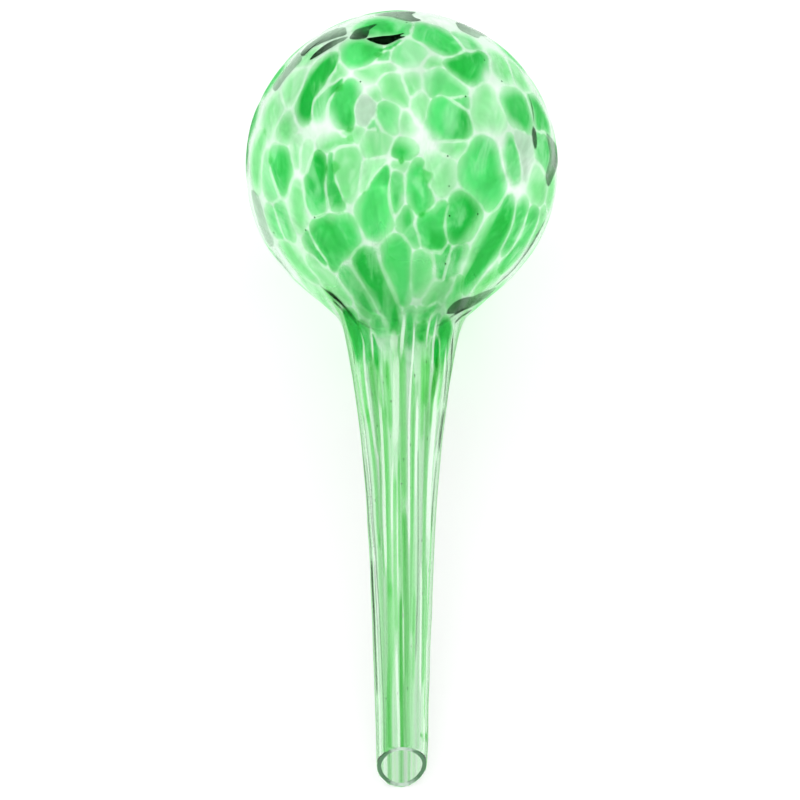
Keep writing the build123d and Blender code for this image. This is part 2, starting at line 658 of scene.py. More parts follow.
@dataclass
class SharedEffects:
    """Node groups that more than one glass uses, each built once."""

    cloud_detail: float = 3.0
    cloud_roughness: float = 0.55
    cloud_distortion: float = 0.6
    cloud_span: Span = (0.32, 0.68)
    even_cloud: float = 0.5
    rare_seed: float = 0.84
    halo_span: Span = (0.1, 2.3)
    edge_drift: float = 0.8
    edge_span: Span = (0.05, 1.0)
    web_stain: float = 0.5

    @staticmethod
    def _start(name: str, inputs: dict[str, str],
               outputs: dict[str, str]) -> tuple[NodeBoard, bpy.types.Node, bpy.types.Node]:
        """Start a group with its sockets.

        Args:
            name: Name of the group.
            inputs: Kinds of its inputs, by their names.
            outputs: Kinds of its outputs, by their names.

        Returns:
            The group's board, the node that brings its inputs and the node that takes its outputs.
        """
        tree = bpy.data.node_groups.new(name, "ShaderNodeTree")
        for way, kinds in (("INPUT", inputs), ("OUTPUT", outputs)):
            for socket, kind in kinds.items():
                tree.interface.new_socket(socket, in_out=way, socket_type=f"NodeSocket{kind}")
        board = NodeBoard(tree)
        return board, board.add("NodeGroupInput"), board.add("NodeGroupOutput")

    @cached_property
    def clouds(self) -> bpy.types.NodeTree:
        """Uneven density of molten glass, drawn out along the stem."""
        board, inputs, result = self._start(
            "melt_clouds", {"Scale": "Float", "Draw": "Vector"}, {"Mask": "Float"})
        place = board.add("ShaderNodeTexCoord")
        drawn = board.add("ShaderNodeVectorMath", operation="MULTIPLY")
        board.join(place.outputs["Object"], drawn.inputs[0])
        board.join(inputs.outputs["Draw"], drawn.inputs[1])
        noise = board.fill(board.add("ShaderNodeTexNoise"), {
            "Vector": drawn.outputs[0], "Scale": inputs.outputs["Scale"], "Detail": self.cloud_detail,
            "Roughness": self.cloud_roughness, "Distortion": self.cloud_distortion})
        board.join(board.ramp(noise.outputs["Fac"], *self.cloud_span), result.inputs["Mask"])
        return board.tree

    @cached_property
    def seeds(self) -> bpy.types.NodeTree:
        """Tiny dark seeds and pin bubbles scattered in the glass."""
        board, inputs, result = self._start(
            "glass_seeds", {"Scale": "Float", "Size": "Float"}, {"Mask": "Float"})
        place = board.add("ShaderNodeTexCoord")
        cells = board.fill(board.add("ShaderNodeTexVoronoi"), {
            "Vector": place.outputs["Object"], "Scale": inputs.outputs["Scale"]})
        speck = board.math("LESS_THAN", cells.outputs["Distance"], inputs.outputs["Size"])
        rare = board.math("GREATER_THAN", cells.outputs["Color"], self.rare_seed)
        board.join(board.math("MULTIPLY", speck, rare), result.inputs["Mask"])
        return board.tree

    @cached_property
    def melt(self) -> bpy.types.NodeTree:
        """Colour of a melted piece: its core, the halo that it stains and the pale web round it."""
        numbers = dict.fromkeys(("Reach", "Edge", "Tone", "Stain", "Clouds", "Drift"), "Float")
        colours = dict.fromkeys(("Core", "Deep", "Halo", "Web"), "Color")
        board, inputs, result = self._start("melted_colour", numbers | colours, {"Color": "Color"})
        given = inputs.outputs
        shift = board.math("SUBTRACT", given["Clouds"], self.even_cloud)
        drift = board.math("MULTIPLY", shift, given["Drift"])
        tone = board.math("ADD", given["Tone"], drift)
        core = board.mix(board.ramp(tone, 0.0, 1.0), given["Core"], given["Deep"])
        reach = board.math("ADD", given["Reach"], drift)
        halo = board.mix(given["Stain"], given["Web"], given["Halo"])
        colour = board.mix(board.ramp(reach, *self.halo_span), core, halo)
        edge = board.math("ADD", given["Edge"], board.math("MULTIPLY", shift, self.edge_drift))
        stain = board.math("MULTIPLY", given["Stain"], self.web_stain)
        web = board.mix(stain, given["Web"], given["Halo"])
        board.join(board.mix(board.ramp(edge, *self.edge_span), web, colour), result.inputs["Color"])
        return board.tree


@dataclass(frozen=True)
class StainedGlass:
    """Coloured glass of a chip or streak: full colour in its core, fading to its melted rim."""

    name: str
    core: Color
    deep: Color
    halo: Color
    web: Color = (0.97, 1.0, 0.975)
    cloud_scale: float = 150.0
    draw: tuple[float, float, float] = (1.0, 1.0, 0.38)
    seed_scale: float = 420.0
    seed_size: float = 0.1
    seed_dark: float = 0.25
    seed_cover: float = 0.8
    drift: float = 0.5
    thinning: float = 0.2
    roughness: float = 0.03
    ior: float = 1.0
    gloss: float = 0.15
    gloss_roughness: float = 0.02

    def drawn_out(self, name: str) -> "StainedGlass":
        """Return this glass drawn out into strands: thinner, so paler, with long fine clouds.

        Args:
            name: Name of the new finish.

        Returns:
            The finish for strands.
        """
        paler = {}
        for part in ("core", "deep", "halo"):
            red, green, blue = getattr(self, part)
            even = (red + blue) / 2
            paler[part] = tuple(share + (1 - share) * self.thinning for share in (even, green, even))
        return replace(self, name=name, draw=STREAK_DRAW, cloud_scale=STREAK_CLOUDS, **paler)

    def make(self, effects: SharedEffects) -> bpy.types.Material:
        """Make the material.

        Args:
            effects: The shared node groups.

        Returns:
            The finished material.
        """
        material, board = blank_material(self.name)
        clouds = board.effect(effects.clouds, {"Scale": self.cloud_scale, "Draw": self.draw})
        values = {"Clouds": clouds.outputs["Mask"], "Drift": self.drift}
        values |= {name: board.value(name.lower()) for name in ("Reach", "Edge", "Tone", "Stain")}
        values |= {name: getattr(self, name.lower()) for name in ("Core", "Deep", "Halo", "Web")}
        melt = board.effect(effects.melt, values)
        seeds = board.effect(effects.seeds, {"Scale": self.seed_scale, "Size": self.seed_size})
        cover = board.math("MULTIPLY", seeds.outputs["Mask"], self.seed_cover)
        dark = tuple(self.seed_dark * part for part in self.deep)
        board.principled({
            "Base Color": board.mix(cover, melt.outputs["Color"], dark), "Roughness": self.roughness,
            "IOR": self.ior, "Transmission Weight": 1.0, "Coat Weight": self.gloss,
            "Coat Roughness": self.gloss_roughness})
        return material


@dataclass(frozen=True)
class ClearGlass:
    """Clear green-edged glass of the bubble and the stem."""

    name: str = "clear_glass"
    colour: Color = (0.97, 1.0, 0.975)
    shaded: Color = (0.90, 0.985, 0.92)
    absorb: Color = (0.42, 0.76, 0.50)
    density: float = 45.0
    roughness: float = 0.0
    cloud_scale: float = 90.0
    draw: tuple[float, float, float] = (1.0, 1.0, 0.2)

    def make(self, effects: SharedEffects) -> bpy.types.Material:
        """Make the material of the walls.

        Args:
            effects: The shared node groups.

        Returns:
            The finished material.
        """
        material, board = blank_material(self.name)
        clouds = board.effect(effects.clouds, {"Scale": self.cloud_scale, "Draw": self.draw})
        output = board.principled({
            "Base Color": board.mix(clouds.outputs["Mask"], self.colour, self.shaded),
            "Roughness": self.roughness, "IOR": GLASS_IOR, "Transmission Weight": 1.0})
        volume = board.fill(board.add("ShaderNodeVolumeAbsorption"), {
            "Color": self.absorb, "Density": self.density})
        board.join(volume.outputs[0], output.inputs["Volume"])
        return material


@dataclass(frozen=True)
class GroundRim:
    """Cut and ground glass of the mouth: pale where the cut is wide, with painted shade at both sides that
    stands in for the wall's thickness seen through the glass.
    """

    name: str = "ground_rim"
    pale: Color = (0.66, 0.86, 0.70)
    # Colour of the painted shade at both sides of the rim, and the span of sideways distance over which it
    # comes in.
    dark: Color = (0.085, 0.25, 0.11)
    painted_shade_span: Span = (1.2 * MM, 4.4 * MM)
    uneven: float = 1.4 * MM
    roughness: float = 0.35
    cloud_scale: float = 700.0
    draw: tuple[float, float, float] = (1.0, 1.0, 1.0)

    def make(self, effects: SharedEffects) -> bpy.types.Material:
        """Make the material of the cut face.

        Args:
            effects: The shared node groups.

        Returns:
            The finished material.
        """
        material, board = blank_material(self.name)
        clouds = board.effect(effects.clouds, {"Scale": self.cloud_scale, "Draw": self.draw})
        place = board.add("ShaderNodeTexCoord")
        split = board.add("ShaderNodeSeparateXYZ")
        board.join(place.outputs["Object"], split.inputs[0])
        # Painted shade grows with the distance to either side of the mouth's middle, broken up by the
        # clouds.
        aside = board.math("ADD", board.math("ABSOLUTE", split.outputs["X"]),
                           board.math("MULTIPLY", clouds.outputs["Mask"], self.uneven))
        board.principled({
            "Base Color": board.mix(board.ramp(aside, *self.painted_shade_span), self.pale, self.dark),
            "Roughness": self.roughness, "IOR": GLASS_IOR})
        return material


@dataclass(frozen=True)
class MilkyGlass:
    """Thin white coat or strand that lets some light through, with a painted glow that stands in for light
    shining through it from behind.
    """

    name: str
    colour: Color = (0.95, 1.0, 0.955)
    stained: Color = (0.78, 0.96, 0.81)
    thin: float = 0.34
    thick: float = 0.60
    least_white: float = 0.6
    # Strength of the painted glow: emission standing in for light that comes through the milky glass from
    # behind.
    glow: float = 0.28
    roughness: float = 0.2
    cloud_scale: float = 110.0
    draw: tuple[float, float, float] = (1.0, 1.0, 0.45)

    def make(self, effects: SharedEffects) -> bpy.types.Material:
        """Make the material of the veil.

        Args:
            effects: The shared node groups.

        Returns:
            The finished material.
        """
        material, board = blank_material(self.name)
        clouds = board.effect(effects.clouds, {"Scale": self.cloud_scale, "Draw": self.draw})

        def clouded(low: float, high: float) -> bpy.types.NodeSocket:
            """Return a value that goes from low to high with the clouds."""
            return board.math("ADD", low, board.math("MULTIPLY", clouds.outputs["Mask"], high - low))

        white = board.math("MULTIPLY", board.value("white"), clouded(self.least_white, 1.0))
        milk = board.mix(white, self.stained, self.colour)
        board.principled({
            "Base Color": milk, "Emission Color": milk, "Emission Strength": self.glow,
            "Roughness": self.roughness, "IOR": GLASS_IOR,
            "Alpha": board.math("MULTIPLY", clouded(self.thin, self.thick), board.value("edge"))})
        return material


@dataclass
class GlassBody:
    """Clear bubble and stem in one blown wall, open at the cut mouth."""

    skin: GlassSkin
    columns: int = 176
    outer_rows: int = 250
    inner_rows: int = 190
    ball_wall: float = 1.35 * MM
    mouth_wall: float = 0.92 * MM
    edge: float = 0.14 * MM
    worn_edge: tuple[Span, ...] = ((0.30, 0.30), (1.0, 0.0))
    bubble_count: int = 90
    bubble_seed: int = 21
    bubble_rings: int = 5
    bubble_sides: int = 8
    bubble_places: Span = (0.006, 0.225)
    bubble_sizes: Span = (0.05 * MM, 0.17 * MM)
    bubble_depths: Span = (0.3, 0.7)
    most_drawn: float = 2.2
    drawn_from: float = 0.08
    drawn_over: float = 0.05

    def wall(self, distance: np.ndarray) -> np.ndarray:
        """Return the wall's thickness at a distance below the crown.

        Args:
            distance: Distance along the outline.

        Returns:
            The thickness there.
        """
        neck = self.skin.outline.neck_distance
        share = np.clip((distance - neck) / (self.skin.outline.length - neck), 0, 1)
        return self.ball_wall + (self.mouth_wall - self.ball_wall) * share

    def _ring(self, distance: float, lift: float, rise: float = 0.0) -> np.ndarray:
        """Return one ring of points round the axis.

        Args:
            distance: Distance below the crown.
            lift: Height above the glass surface.
            rise: How far the ring is moved up.

        Returns:
            Rows of x, y, z.
        """
        ring = self.skin.place(distance, turns_round(self.columns), lift)
        ring[:, 2] += rise
        return ring

    def build(self) -> bpy.types.Object:
        """Build the wall with its rim and its bubbles.

        Returns:
            The finished object.
        """
        maker = MeshMaker("glass_body")
        length = self.skin.outline.length
        ends = []
        for count, depth, flip in ((self.outer_rows, 0.0, False), (self.inner_rows, 1.0, True)):
            distances = np.linspace(0, length - self.edge, count)[1:]
            tip = maker.add_points(self.skin.place(0.0, np.zeros(1), -depth * self.ball_wall))
            maker.add_points(np.concatenate(
                [self._ring(distance, -depth * float(self.wall(distance))) for distance in distances]))
            ends.append(maker.add_dome(tip, count - 1, self.columns, flip))
        self._add_rim(maker, *ends)
        self._add_bubbles(maker)
        return maker.make()

    def _add_rim(self, maker: MeshMaker, last_outer: int, last_inner: int) -> None:
        """Close the wall at the mouth with a flat cut whose edges are worn round.

        Args:
            maker: The piece that gets the rim.
            last_outer: First point of the outside's last ring.
            last_inner: First point of the inside's last ring.
        """
        length = self.skin.outline.length
        rings = [self._ring(length, -self.edge * aside, self.edge * rise)
                 for aside, rise in self.worn_edge]
        rings += [self._ring(length, -self.mouth_wall + self.edge * aside, self.edge * rise)
                  for aside, rise in self.worn_edge[::-1]]
        firsts = [last_outer] + [maker.add_points(ring) for ring in rings] + [last_inner]
        for low, high in zip(firsts, firsts[1:]):
            maker.add_band(low, high, self.columns, slot=1)

    def _add_bubbles(self, maker: MeshMaker) -> None:
        """Scatter small air bubbles in the wall, drawn out along the stem.

        Args:
            maker: The piece that gets the bubbles.
        """
        rng = np.random.default_rng(self.bubble_seed)
        rings, sides = self.bubble_rings, self.bubble_sides
        rise = np.linspace(-math.pi / 2, math.pi / 2, rings + 2)[1:-1]
        spin = turns_round(sides)
        ball = np.stack([np.outer(np.cos(rise), np.cos(spin)), np.outer(np.cos(rise), np.sin(spin)),
                         np.outer(np.sin(rise), np.ones(sides))], axis=-1).reshape(-1, 3)
        ball = np.concatenate([ball, [[0, 0, -1.0], [0, 0, 1.0]]])
        for _ in range(self.bubble_count):
            distance = rng.uniform(*self.bubble_places)
            turn = rng.uniform(0, FULL_TURN)
            size = rng.uniform(*self.bubble_sizes)
            depth = rng.uniform(*self.bubble_depths) * self.mouth_wall
            middle = self.skin.place(distance, np.array([turn]), -depth)[0]
            drawn = 1 + self.most_drawn * np.clip((distance - self.drawn_from) / self.drawn_over, 0, 1)
            first = maker.add_points(middle + ball * size * np.array([1.0, 1.0, drawn]))
            low_tip = first + rings * sides
            maker.add_grid(first, rings, sides)
            maker.add_fan(low_tip, first, sides)
            maker.add_fan(low_tip + 1, first + (rings - 1) * sides, sides, flip=True)


@dataclass(frozen=True)
class WhitePlace:
    """A place where the veil is white, in pixels of the photograph: thick milky coat, except the place at
    the crown, which is a painted reflection.
    """

    x: float
    y: float
    reach: float


WHITE_PLACES = tuple(WhitePlace(*row) for row in (
    (328, 126, 14), (317, 123, 9), (352, 72, 10), (366, 88, 11),
    (376, 66, 8), (398, 68, 12), (416, 67, 12), (430, 72, 9),
    (410, 110, 8), (418, 122, 9), (424, 135, 11), (434, 146, 9),
    (487, 76, 8), (497, 88, 7), (472, 90, 5), (490, 134, 9),
    (503, 143, 10), (504, 165, 7), (509, 187, 8), (518, 192, 10),
    (529, 166, 8), (294, 120, 6), (294, 148, 6), (298, 174, 6),
    (307, 213, 5), (359, 233, 5), (371, 243, 6), (380, 256, 5),
    (404, 198, 5), (413, 222, 4), (389, 160, 5), (403, 316, 7),
    # The place at (436, 21), on the crown, is a painted reflection.
    (345, 266, 6), (462, 264, 7), (490, 268, 8), (436, 21, 14),
    (388, 300, 4), (435, 270, 6), (447, 46, 5), (431, 53, 6),
))


@dataclass(frozen=True)
class WhitePlaces:
    """All white places of the veil: those of the photograph, and a scatter on the hidden side."""

    skin: GlassSkin
    view: PhotoView
    widen: float = 1.15
    hidden_places: int = 34
    hidden_reach: float = 3.2 * MM
    hidden_sizes: Span = (0.5, 1.3)
    hidden_distances: Span = (0.012, 0.095)
    seed: int = 17

    @cached_property
    def _places(self) -> list[tuple[np.ndarray, float]]:
        """Middles and reaches of the white places, seen and hidden."""
        found = []
        for place in WHITE_PLACES:
            middle = self.skin.bare(*np.array([self.view.on_glass(place.x, place.y)]).T)[0]
            found.append((middle, self.widen * place.reach / float(self.view.pixels_per_metre(middle))))
        rng = np.random.default_rng(self.seed)
        while len(found) < len(WHITE_PLACES) + self.hidden_places:
            distance, turn = rng.uniform(*self.hidden_distances), rng.uniform(0, FULL_TURN)
            reach = self.hidden_reach * rng.uniform(*self.hidden_sizes)
            if self.skin.directions(distance, turn)[0] @ self.view.forward > 0:
                found.append((self.skin.bare(np.array([distance]), np.array([turn]))[0], reach))
        return found

    def at(self, points: np.ndarray) -> np.ndarray:
        """Return how white the veil is at points, from 0 to 1.

        Args:
            points: Rows of x, y, z.

        Returns:
            One number for each point.
        """
        white = np.zeros(len(points))
        for middle, reach in self._places:
            white = np.maximum(white, np.exp(-((points - middle) ** 2).sum(axis=1) / reach ** 2))
        return white


@dataclass
class MilkVeil:
    """Thin white coat over the ball, under the chips."""

    skin: GlassSkin
    whites: WhitePlaces
    columns: int = 216
    rows: int = 170
    low_lift: float = 0.010 * MM
    high_lift: float = 0.022 * MM
    foot_height: float = 0.105
    fade_low: float = 0.118
    fade_high: float = 0.150

    def _fade(self, points: np.ndarray) -> np.ndarray:
        """Return how full the coat is at points; it fades out down the stem."""
        return eased((points[:, 2] - self.fade_low) / (self.fade_high - self.fade_low))

    def build(self) -> bpy.types.Object:
        """Build the coat as a closed thin shell.

        Returns:
            The finished object.
        """
        maker = MeshMaker("milk_veil")
        end = self.skin.outline.distance_at(self.foot_height)
        distances = np.linspace(0, end, self.rows + 1)[1:]
        turns = turns_round(self.columns)
        feet = []
        for lift, flip in ((self.high_lift, False), (self.low_lift, True)):
            crown = self.skin.place(0.0, np.zeros(1), lift)
            tip = maker.add_points(crown, white=self.whites.at(crown), edge=np.ones(1))
            points = np.concatenate([self.skin.place(distance, turns, lift) for distance in distances])
            maker.add_points(points, white=self.whites.at(points), edge=self._fade(points))
            feet.append(maker.add_dome(tip, self.rows, self.columns, flip))
        maker.add_band(*feet, self.columns)
        return maker.make()


@dataclass(frozen=True)
class PhotoChip:
    """A chip as the photograph shows it.

    Corners are the pixels round its outline, in order, as x,y pairs; lean is the direction in degrees,
    clockwise from the picture's right, in which its colour deepens by slope.
    """

    shade: Shade
    tone: float
    corners: str
    lean: float = 0.0
    slope: float = 0.0
    rim: float = 2.2 * MM


@dataclass
class Chip:
    """A chip on the glass: its middle, points round its edge, and how its colour varies."""

    middle: np.ndarray
    edge: np.ndarray
    shade: Shade
    tone: float
    slope: np.ndarray
    rim: float
    lift: float
    thickness: float
    stain: float
    thinning: float


PHOTO_CHIPS = tuple(PhotoChip(*row) for row in (
    (E, 1.0, "299,117 299,100 305,83 315,68 327,57 337,54 336,66 325,81 313,99 309,119", 40, 0.5, 1.8 * MM),
    (L, 0.7, "342,78 333,85 324,93 314,102 313,112 318,119 323,111 327,102 334,92 "
        "341,84", 320, 0.4, 1.8 * MM),
    (M, 0.6, "338,63 343,69 344,75 339,77.5 333,81.5 331,78 335,71"),
    (E, 0.35, "330,103 336,90 344,82 351,80 357,87 357,98 354,108 354,120 350,130 342,127 "
        "335,116", 90, 0.2),
    (M, 0.5, "283,98 286,84 293,75 300,72 301,82 297,92 290,100"),
    (M, 0.5, "263,122 268,105 276,97 281,103 278,114 272,127 266,136"),
    (M, 0.9, "279,126 284,119 290,119 292,128 289,140 283,141 279,134"),
    (M, 0.8, "251,166 253,150 258,138 263,130 265,137 261,150 259,167 257,186 253,183"),
    (E, 0.45, "270,153 276,150 283,149 288,156 289.5,168 287,182 283,194 278,191 273,178 "
        "269,165", 90, 0.2, 1.8 * MM),
    (L, 0.1, "264,160 269,154 269,168 273,184 276,194 276,199 270,198 266,190 263,175"),
    (M, 0.4, "293,140 297,144 299,156 297,166 293,158 292,149"),
    (M, 0.8, "292,191 296,183 300,189 303,204 304,220 301,229 295,222 292,207"),
    (M, 0.4, "301,152 306,148 311,153 308,163 304,171 301,163"),
    (E, 0.6, "310,163 314,154 320,151 325,158 326,171 324,186 325,200 321,212 314,213 308,205 306,192 "
        "307,178", 290, 0.35, 1.8 * MM),
    (L, 0.75, "327,162 331,153 333,164 334,176 338,188 342,200 340,207 332,205 327,195 326,178", 70, 0.35),
    (M, 0.95, "334,158 340,148 350,146 358,152 360,164 358,179 353,192 346,200 341,193 336,180 "
        "333,168", 180, 0.2),
    (M, 0.8, "319,149 326,141 337,137 348,138 353,143 343,145 333,147 326,151"),
    (C, 0.0, "355,112 357,102 362,97 369,97 374,103 376,111 372,119 366,124 359,123", 0, 0.0, 1.0 * MM),
    (L, 0.15, "377,108 384,103 393,105 398,112 397,122 392,130 385,131 380,124 376,117", 200, 0.3),
    (L, 0.35, "370.5,121 374.5,118.5 377.5,124 379,129 375,128.5 370,127"),
    (M, 0.4, "343,133 350,129 360,128 362,135 357,141 349,139"),
    (M, 0.8, "363,141 368,133 377,129 385,133 388,142 386,152 378,157 369,157 363,151", 90, 0.2),
    (M, 0.1, "362,178 365,164 376,158.5 386,161 377,170.5 369,181 363.5,192"),
    (E, 0.55, "393,151 397,146 404,145 410,150 409,156 403,161 396,158", 180, 0.3),
    (M, 0.8, "391,166 396,161 404,161 407,166 402,170 396,168.5"),
    (E, 0.15, "387,164 378,173 370,184 364,196 360.5,209 360.5,221 364,231 371,237 379,236 386,229 389,218 "
        "389,203 388,187 390,175", 270, 0.25, 1.8 * MM),
    (L, 0.45, "391,175 396,171.5 402,178 403,190 400,203 395,212 391,203 390,187"),
    (E, 0.3, "409,174 414,165 421,163 424,172 428,183 430,195 428,208 421,215 414,209 409,199 "
        "407,187", 0, 0.2),
    (L, 0.45, "402,214 408,207 412,215 414,226 418,236 418,246 411,243 405,234 401,224", 270, 0.2),
    (M, 0.35, "424,171 430,160 440,157 449,163 452,174 449,185 443,193 435,190 428,182", 0, 0.2),
    (M, 0.9, "444,149 450,143 459,142 465,145 462,150 454,153 447,153"),
    (E, 0.35, "429,109 433,100 441,96 450,99 459,105 466,112 470,121 468,131 462,138 452,140 443,135 "
        "434,131 428,121", 10, 0.75, 2.0 * MM),
    (L, 0.45, "453,98.5 460,97.5 466.5,97 467.5,107 461,105 454.5,101"),
    (M, 0.4, "474,106 478,95 484,87 490,90 494,100 500,110 503,120 498,127 488,128 478,126 "
        "473,117", 250, 0.2),
    (L, 0.8, "504,98 511,93 519,93 525,99 529,110 532,121 529,130 523,127 517,121 511,117 "
        "506,108", 20, 0.3),
    (L, 0.9, "530,96 537,99 543,110 548,122 549,131 545,129 540,131 536,122 534,110"),
    (L, 0.8, "539,134 544,133.5 548,142 550,152 549,165 546,170 541,160 538,148"),
    (L, 0.3, "506,152 508,142 511,137 515,142 518,150 520,160 521,171 519,180 515,182 511,176 "
        "507,165", 200, 0.2, 1.4 * MM),
    (C, 0.0, "516,141 521,136 528,138 530,148 529,160 528,172 526,180 524,172 522,160 519,149"),
    (E, 0.2, "464,166 468,154 474,146 481,140 488,141 493,149 498,160 501,172 504,185 502,199 495,205 "
        "486,203 477,198 470,190 464,178", 300, 0.3, 3.0 * MM),
    (E, 0.65, "447,215 451,203 458,196 466,195 474,200 478,210 474,222 468,233 461,241 454,244 449,238 "
        "446,228", 0, 0.3),
    (E, 0.4, "417,226 421,215 428,212 436,211 443,205 447,205 445,218 445,231 446,243 441,252 433,250 "
        "425,247 419,238", 60, 0.3, 2.0 * MM),
    (E, 0.6, "435,254 441,253 447,247 450,246 449,256 446,267 442,278 439,272 437,263"),
    (L, 0.7, "451,253 457,247 463,247 462,257 457,267 451,277 446,280 447,270 449,261"),
    (E, 0.55, "505,200 511,198 514,209 512,223 507,236 500,249 491,262 481,275 472,284 464,290 463,283 "
        "470,269 476,255 482,242 490,228 498,214", 300, 0.15, 2.0 * MM),
    (L, 0.6, "518,207 524,202 528,208 525,220 520,232 514,244 507,253 504,249 509,239 514,226"),
    (L, 0.5, "530,211 536,206 540,212 537,224 530,238 521,252 511,264 503,272 500,267 510,255 519,242 "
        "526,227"),
    (M, 0.8, "531,180 536,171 541,170 545,178 547,190 544,203 538,206 533,199"),
    (M, 0.6, "552,176 555,178 555,190 552,203 548,208 548,196"),
    (M, 0.6, "542,210 547,207 545.5,218 539,232 531.5,244.5 533,238 539,225"),
    (E, 0.45, "311,232 315,223 323,218 332,220 342,219 351,222 357,230 359,240 354,248 347,253 342,260 "
        "338,268 331,267 324,257 317,247 312,240", 150, 0.3),
    (L, 0.7, "306,233 310,237 315,247 321,256 326,264 319,262 312,252 307,243"),
    (L, 0.65, "339,269 344,267 350,273 357,282 363,291 369,302 374,315 366,311 358,301 350,291 343,280"),
    (E, 0.8, "355,263 357,253 364,249 371,252 376,261 381,272 387,285 393,298 398,312 400,327 393,330 "
        "386,317 378,303 370,290 361,276", 300, 0.15, 2.0 * MM),
    (E, 0.2, "384,259 386,248 392,240 400,238 407,244 410,256 410,270 409,285 406,297 402,304 398,296 "
        "393,284 387,271", 270, 0.1, 2.0 * MM),
    (L, 0.05, "412,263 415,255 424,252 431,257 431,268 427,278 421,288 415,293 412,280"),
    (M, 0.9, "431,297 437,287 445,280 452,280 450,290 444,298 437,301 430,304 426.5,306"),
    (M, 0.5, "308,263 314,259 323,269 333,280 342,291 351,303 343,300 333,291 322,280 313,271"),
    (M, 0.6, "281,243 287,243 294,252 301,261 309,271 317,281 310,281 300,273 291,263 284,253"),
    (L, 0.45, "275,206 279.5,202 283,210 287,222 290,235 286,239 281,231 277,218"),
    (L, 0.1, "268,213 272,210 276,220 280,230 283,239 277,236 271,226"),
    (L, 0.3, "453,290 458,282 462,279.5 461.5,289 457,297 451,303.5 448,299"),
    (M, 0.8, "497,268 503,272 497,278 488,284 479,288 484,280 490,273"),
    (E, 0.3, "341,54 346,45 353,41 362,40 371,42 379,46 384,49 380,55 373,60 366,64 358,67 349,66 "
        "343,61", 320, 0.4, 2.0 * MM),
    (L, 0.5, "377,59 382,53 389,50 390,56 385,60"),
    (E, 0.5, "381,49 387,47 394,43 401,40 399,43 394,47 388,50"),
    (L, -0.2, "391,57 394,48 400,43 409,40 417,43 423,50 424,57 419,61 409,64 399,63", 210, 0.35),
    (E, 0.35, "360,24 375,18 390,19 402,22 410,25 409,33 398,34 385,34 372,34 362,32", 90, 0.2),
    (E, 0.35, "413,30 420,24 430,26 440,29 451,35 459,42 462,50 455,54 446,53 436,48 425,42 "
        "415,38", 90, 0.35),
    (L, 0.35, "455,34.5 461,35 470,38 478,46 474,49 466,47 460,41.5"),
    (E, 0.75, "445,63 453,58 459,54 465,52 472,53 480,51 486,57 484,68 481,77 475,82 467,81 458,76 "
        "450,70", 190, 0.45, 2.2 * MM),
    (L, 0.2, "429,76 436,68 443,69 452,77 461,86 466,93 458,96 448,97 440,94 432,97 429,88", 90, 0.2),
    (M, 0.9, "493,53 499,54 506,61 511,69 512,77 507,79 501,75 496,69", 90, 0.2),
    (M, 0.6, "511,62 517,66 523,76 529,88 524,88 517,80 512,71"),
    (M, 0.85, "382,78 388,73 395,74 400,79 404,88 407,98 408,106 403,104 395,101 387,97 382,94"),
    (M, 0.8, "405,79 411,75 417,79 416,88 411,94 408,88"),
    (M, 0.6, "370,95 375,89 380,92 379,99 374,99"),
    (M, 0.5, "411,106 416,98 422,95 428,100 427,110 424,120 418,116 413,110"),
    (M, 0.6, "401,117 406,113 410,119 411,127 406,128 402,124"),
    (M, 0.5, "356,71 364,68.5 376,64 388,63 395,69 384,73 372,80 364,78 359,75"),
    (M, 0.7, "300,63 306,53 315,49 313,55 306,62"),
    (M, 0.7, "428,60 434,59 442,62 441,66 433,66 428,66"),
    (L, 0.5, "419,318 424,310.5 431,306.5 438,303.5 435,310 429,318 423,322"),
    (E, 0.75, "342,311 350,311 356,320 360,331 362,345 362,358 361.5,376 357.5,364 353,350 350,338 "
        "346,325", 290, 0.3, 0.9 * MM),
    (E, 0.3, "357,322 362,324 367,331 370.5,342 371,354 370,364 368.5,376 365.5,360 363.5,343 "
        "361,332", 290, 0.3, 0.9 * MM),
    (E, 0.6, "371,334 374.5,338 377,349 378,360 377.5,376 374.5,362 372,347", 290, 0.3, 0.8 * MM),
    (L, 0.65, "375,317 379.5,319 383,326 384,335 382,345 377.5,341 375,332 374,324"),
    (L, 0.6, "407,312 412.5,311 413.5,325 413,341 410.5,356 407.5,348 406,330"),
    (E, 0.55, "416.5,337 419,326 425,321 427.5,326 425.5,336 424,344 419,345"),
    (E, 0.35, "431,322 436,314 440,317 437,326 432.5,332 429.5,331", 0, 0.0, 2.0 * MM),
    (E, 1.0, "434.5,343 438,337 440,346 439.5,358 436,378 434,362 433.5,352", 270, 0.3, 0.9 * MM),
    (E, 0.45, "440,322 448,319 452,328 449,342 446.5,356 441.5,374 440.5,358 440.8,343 "
        "439,332", 250, 0.3, 1.0 * MM),
))
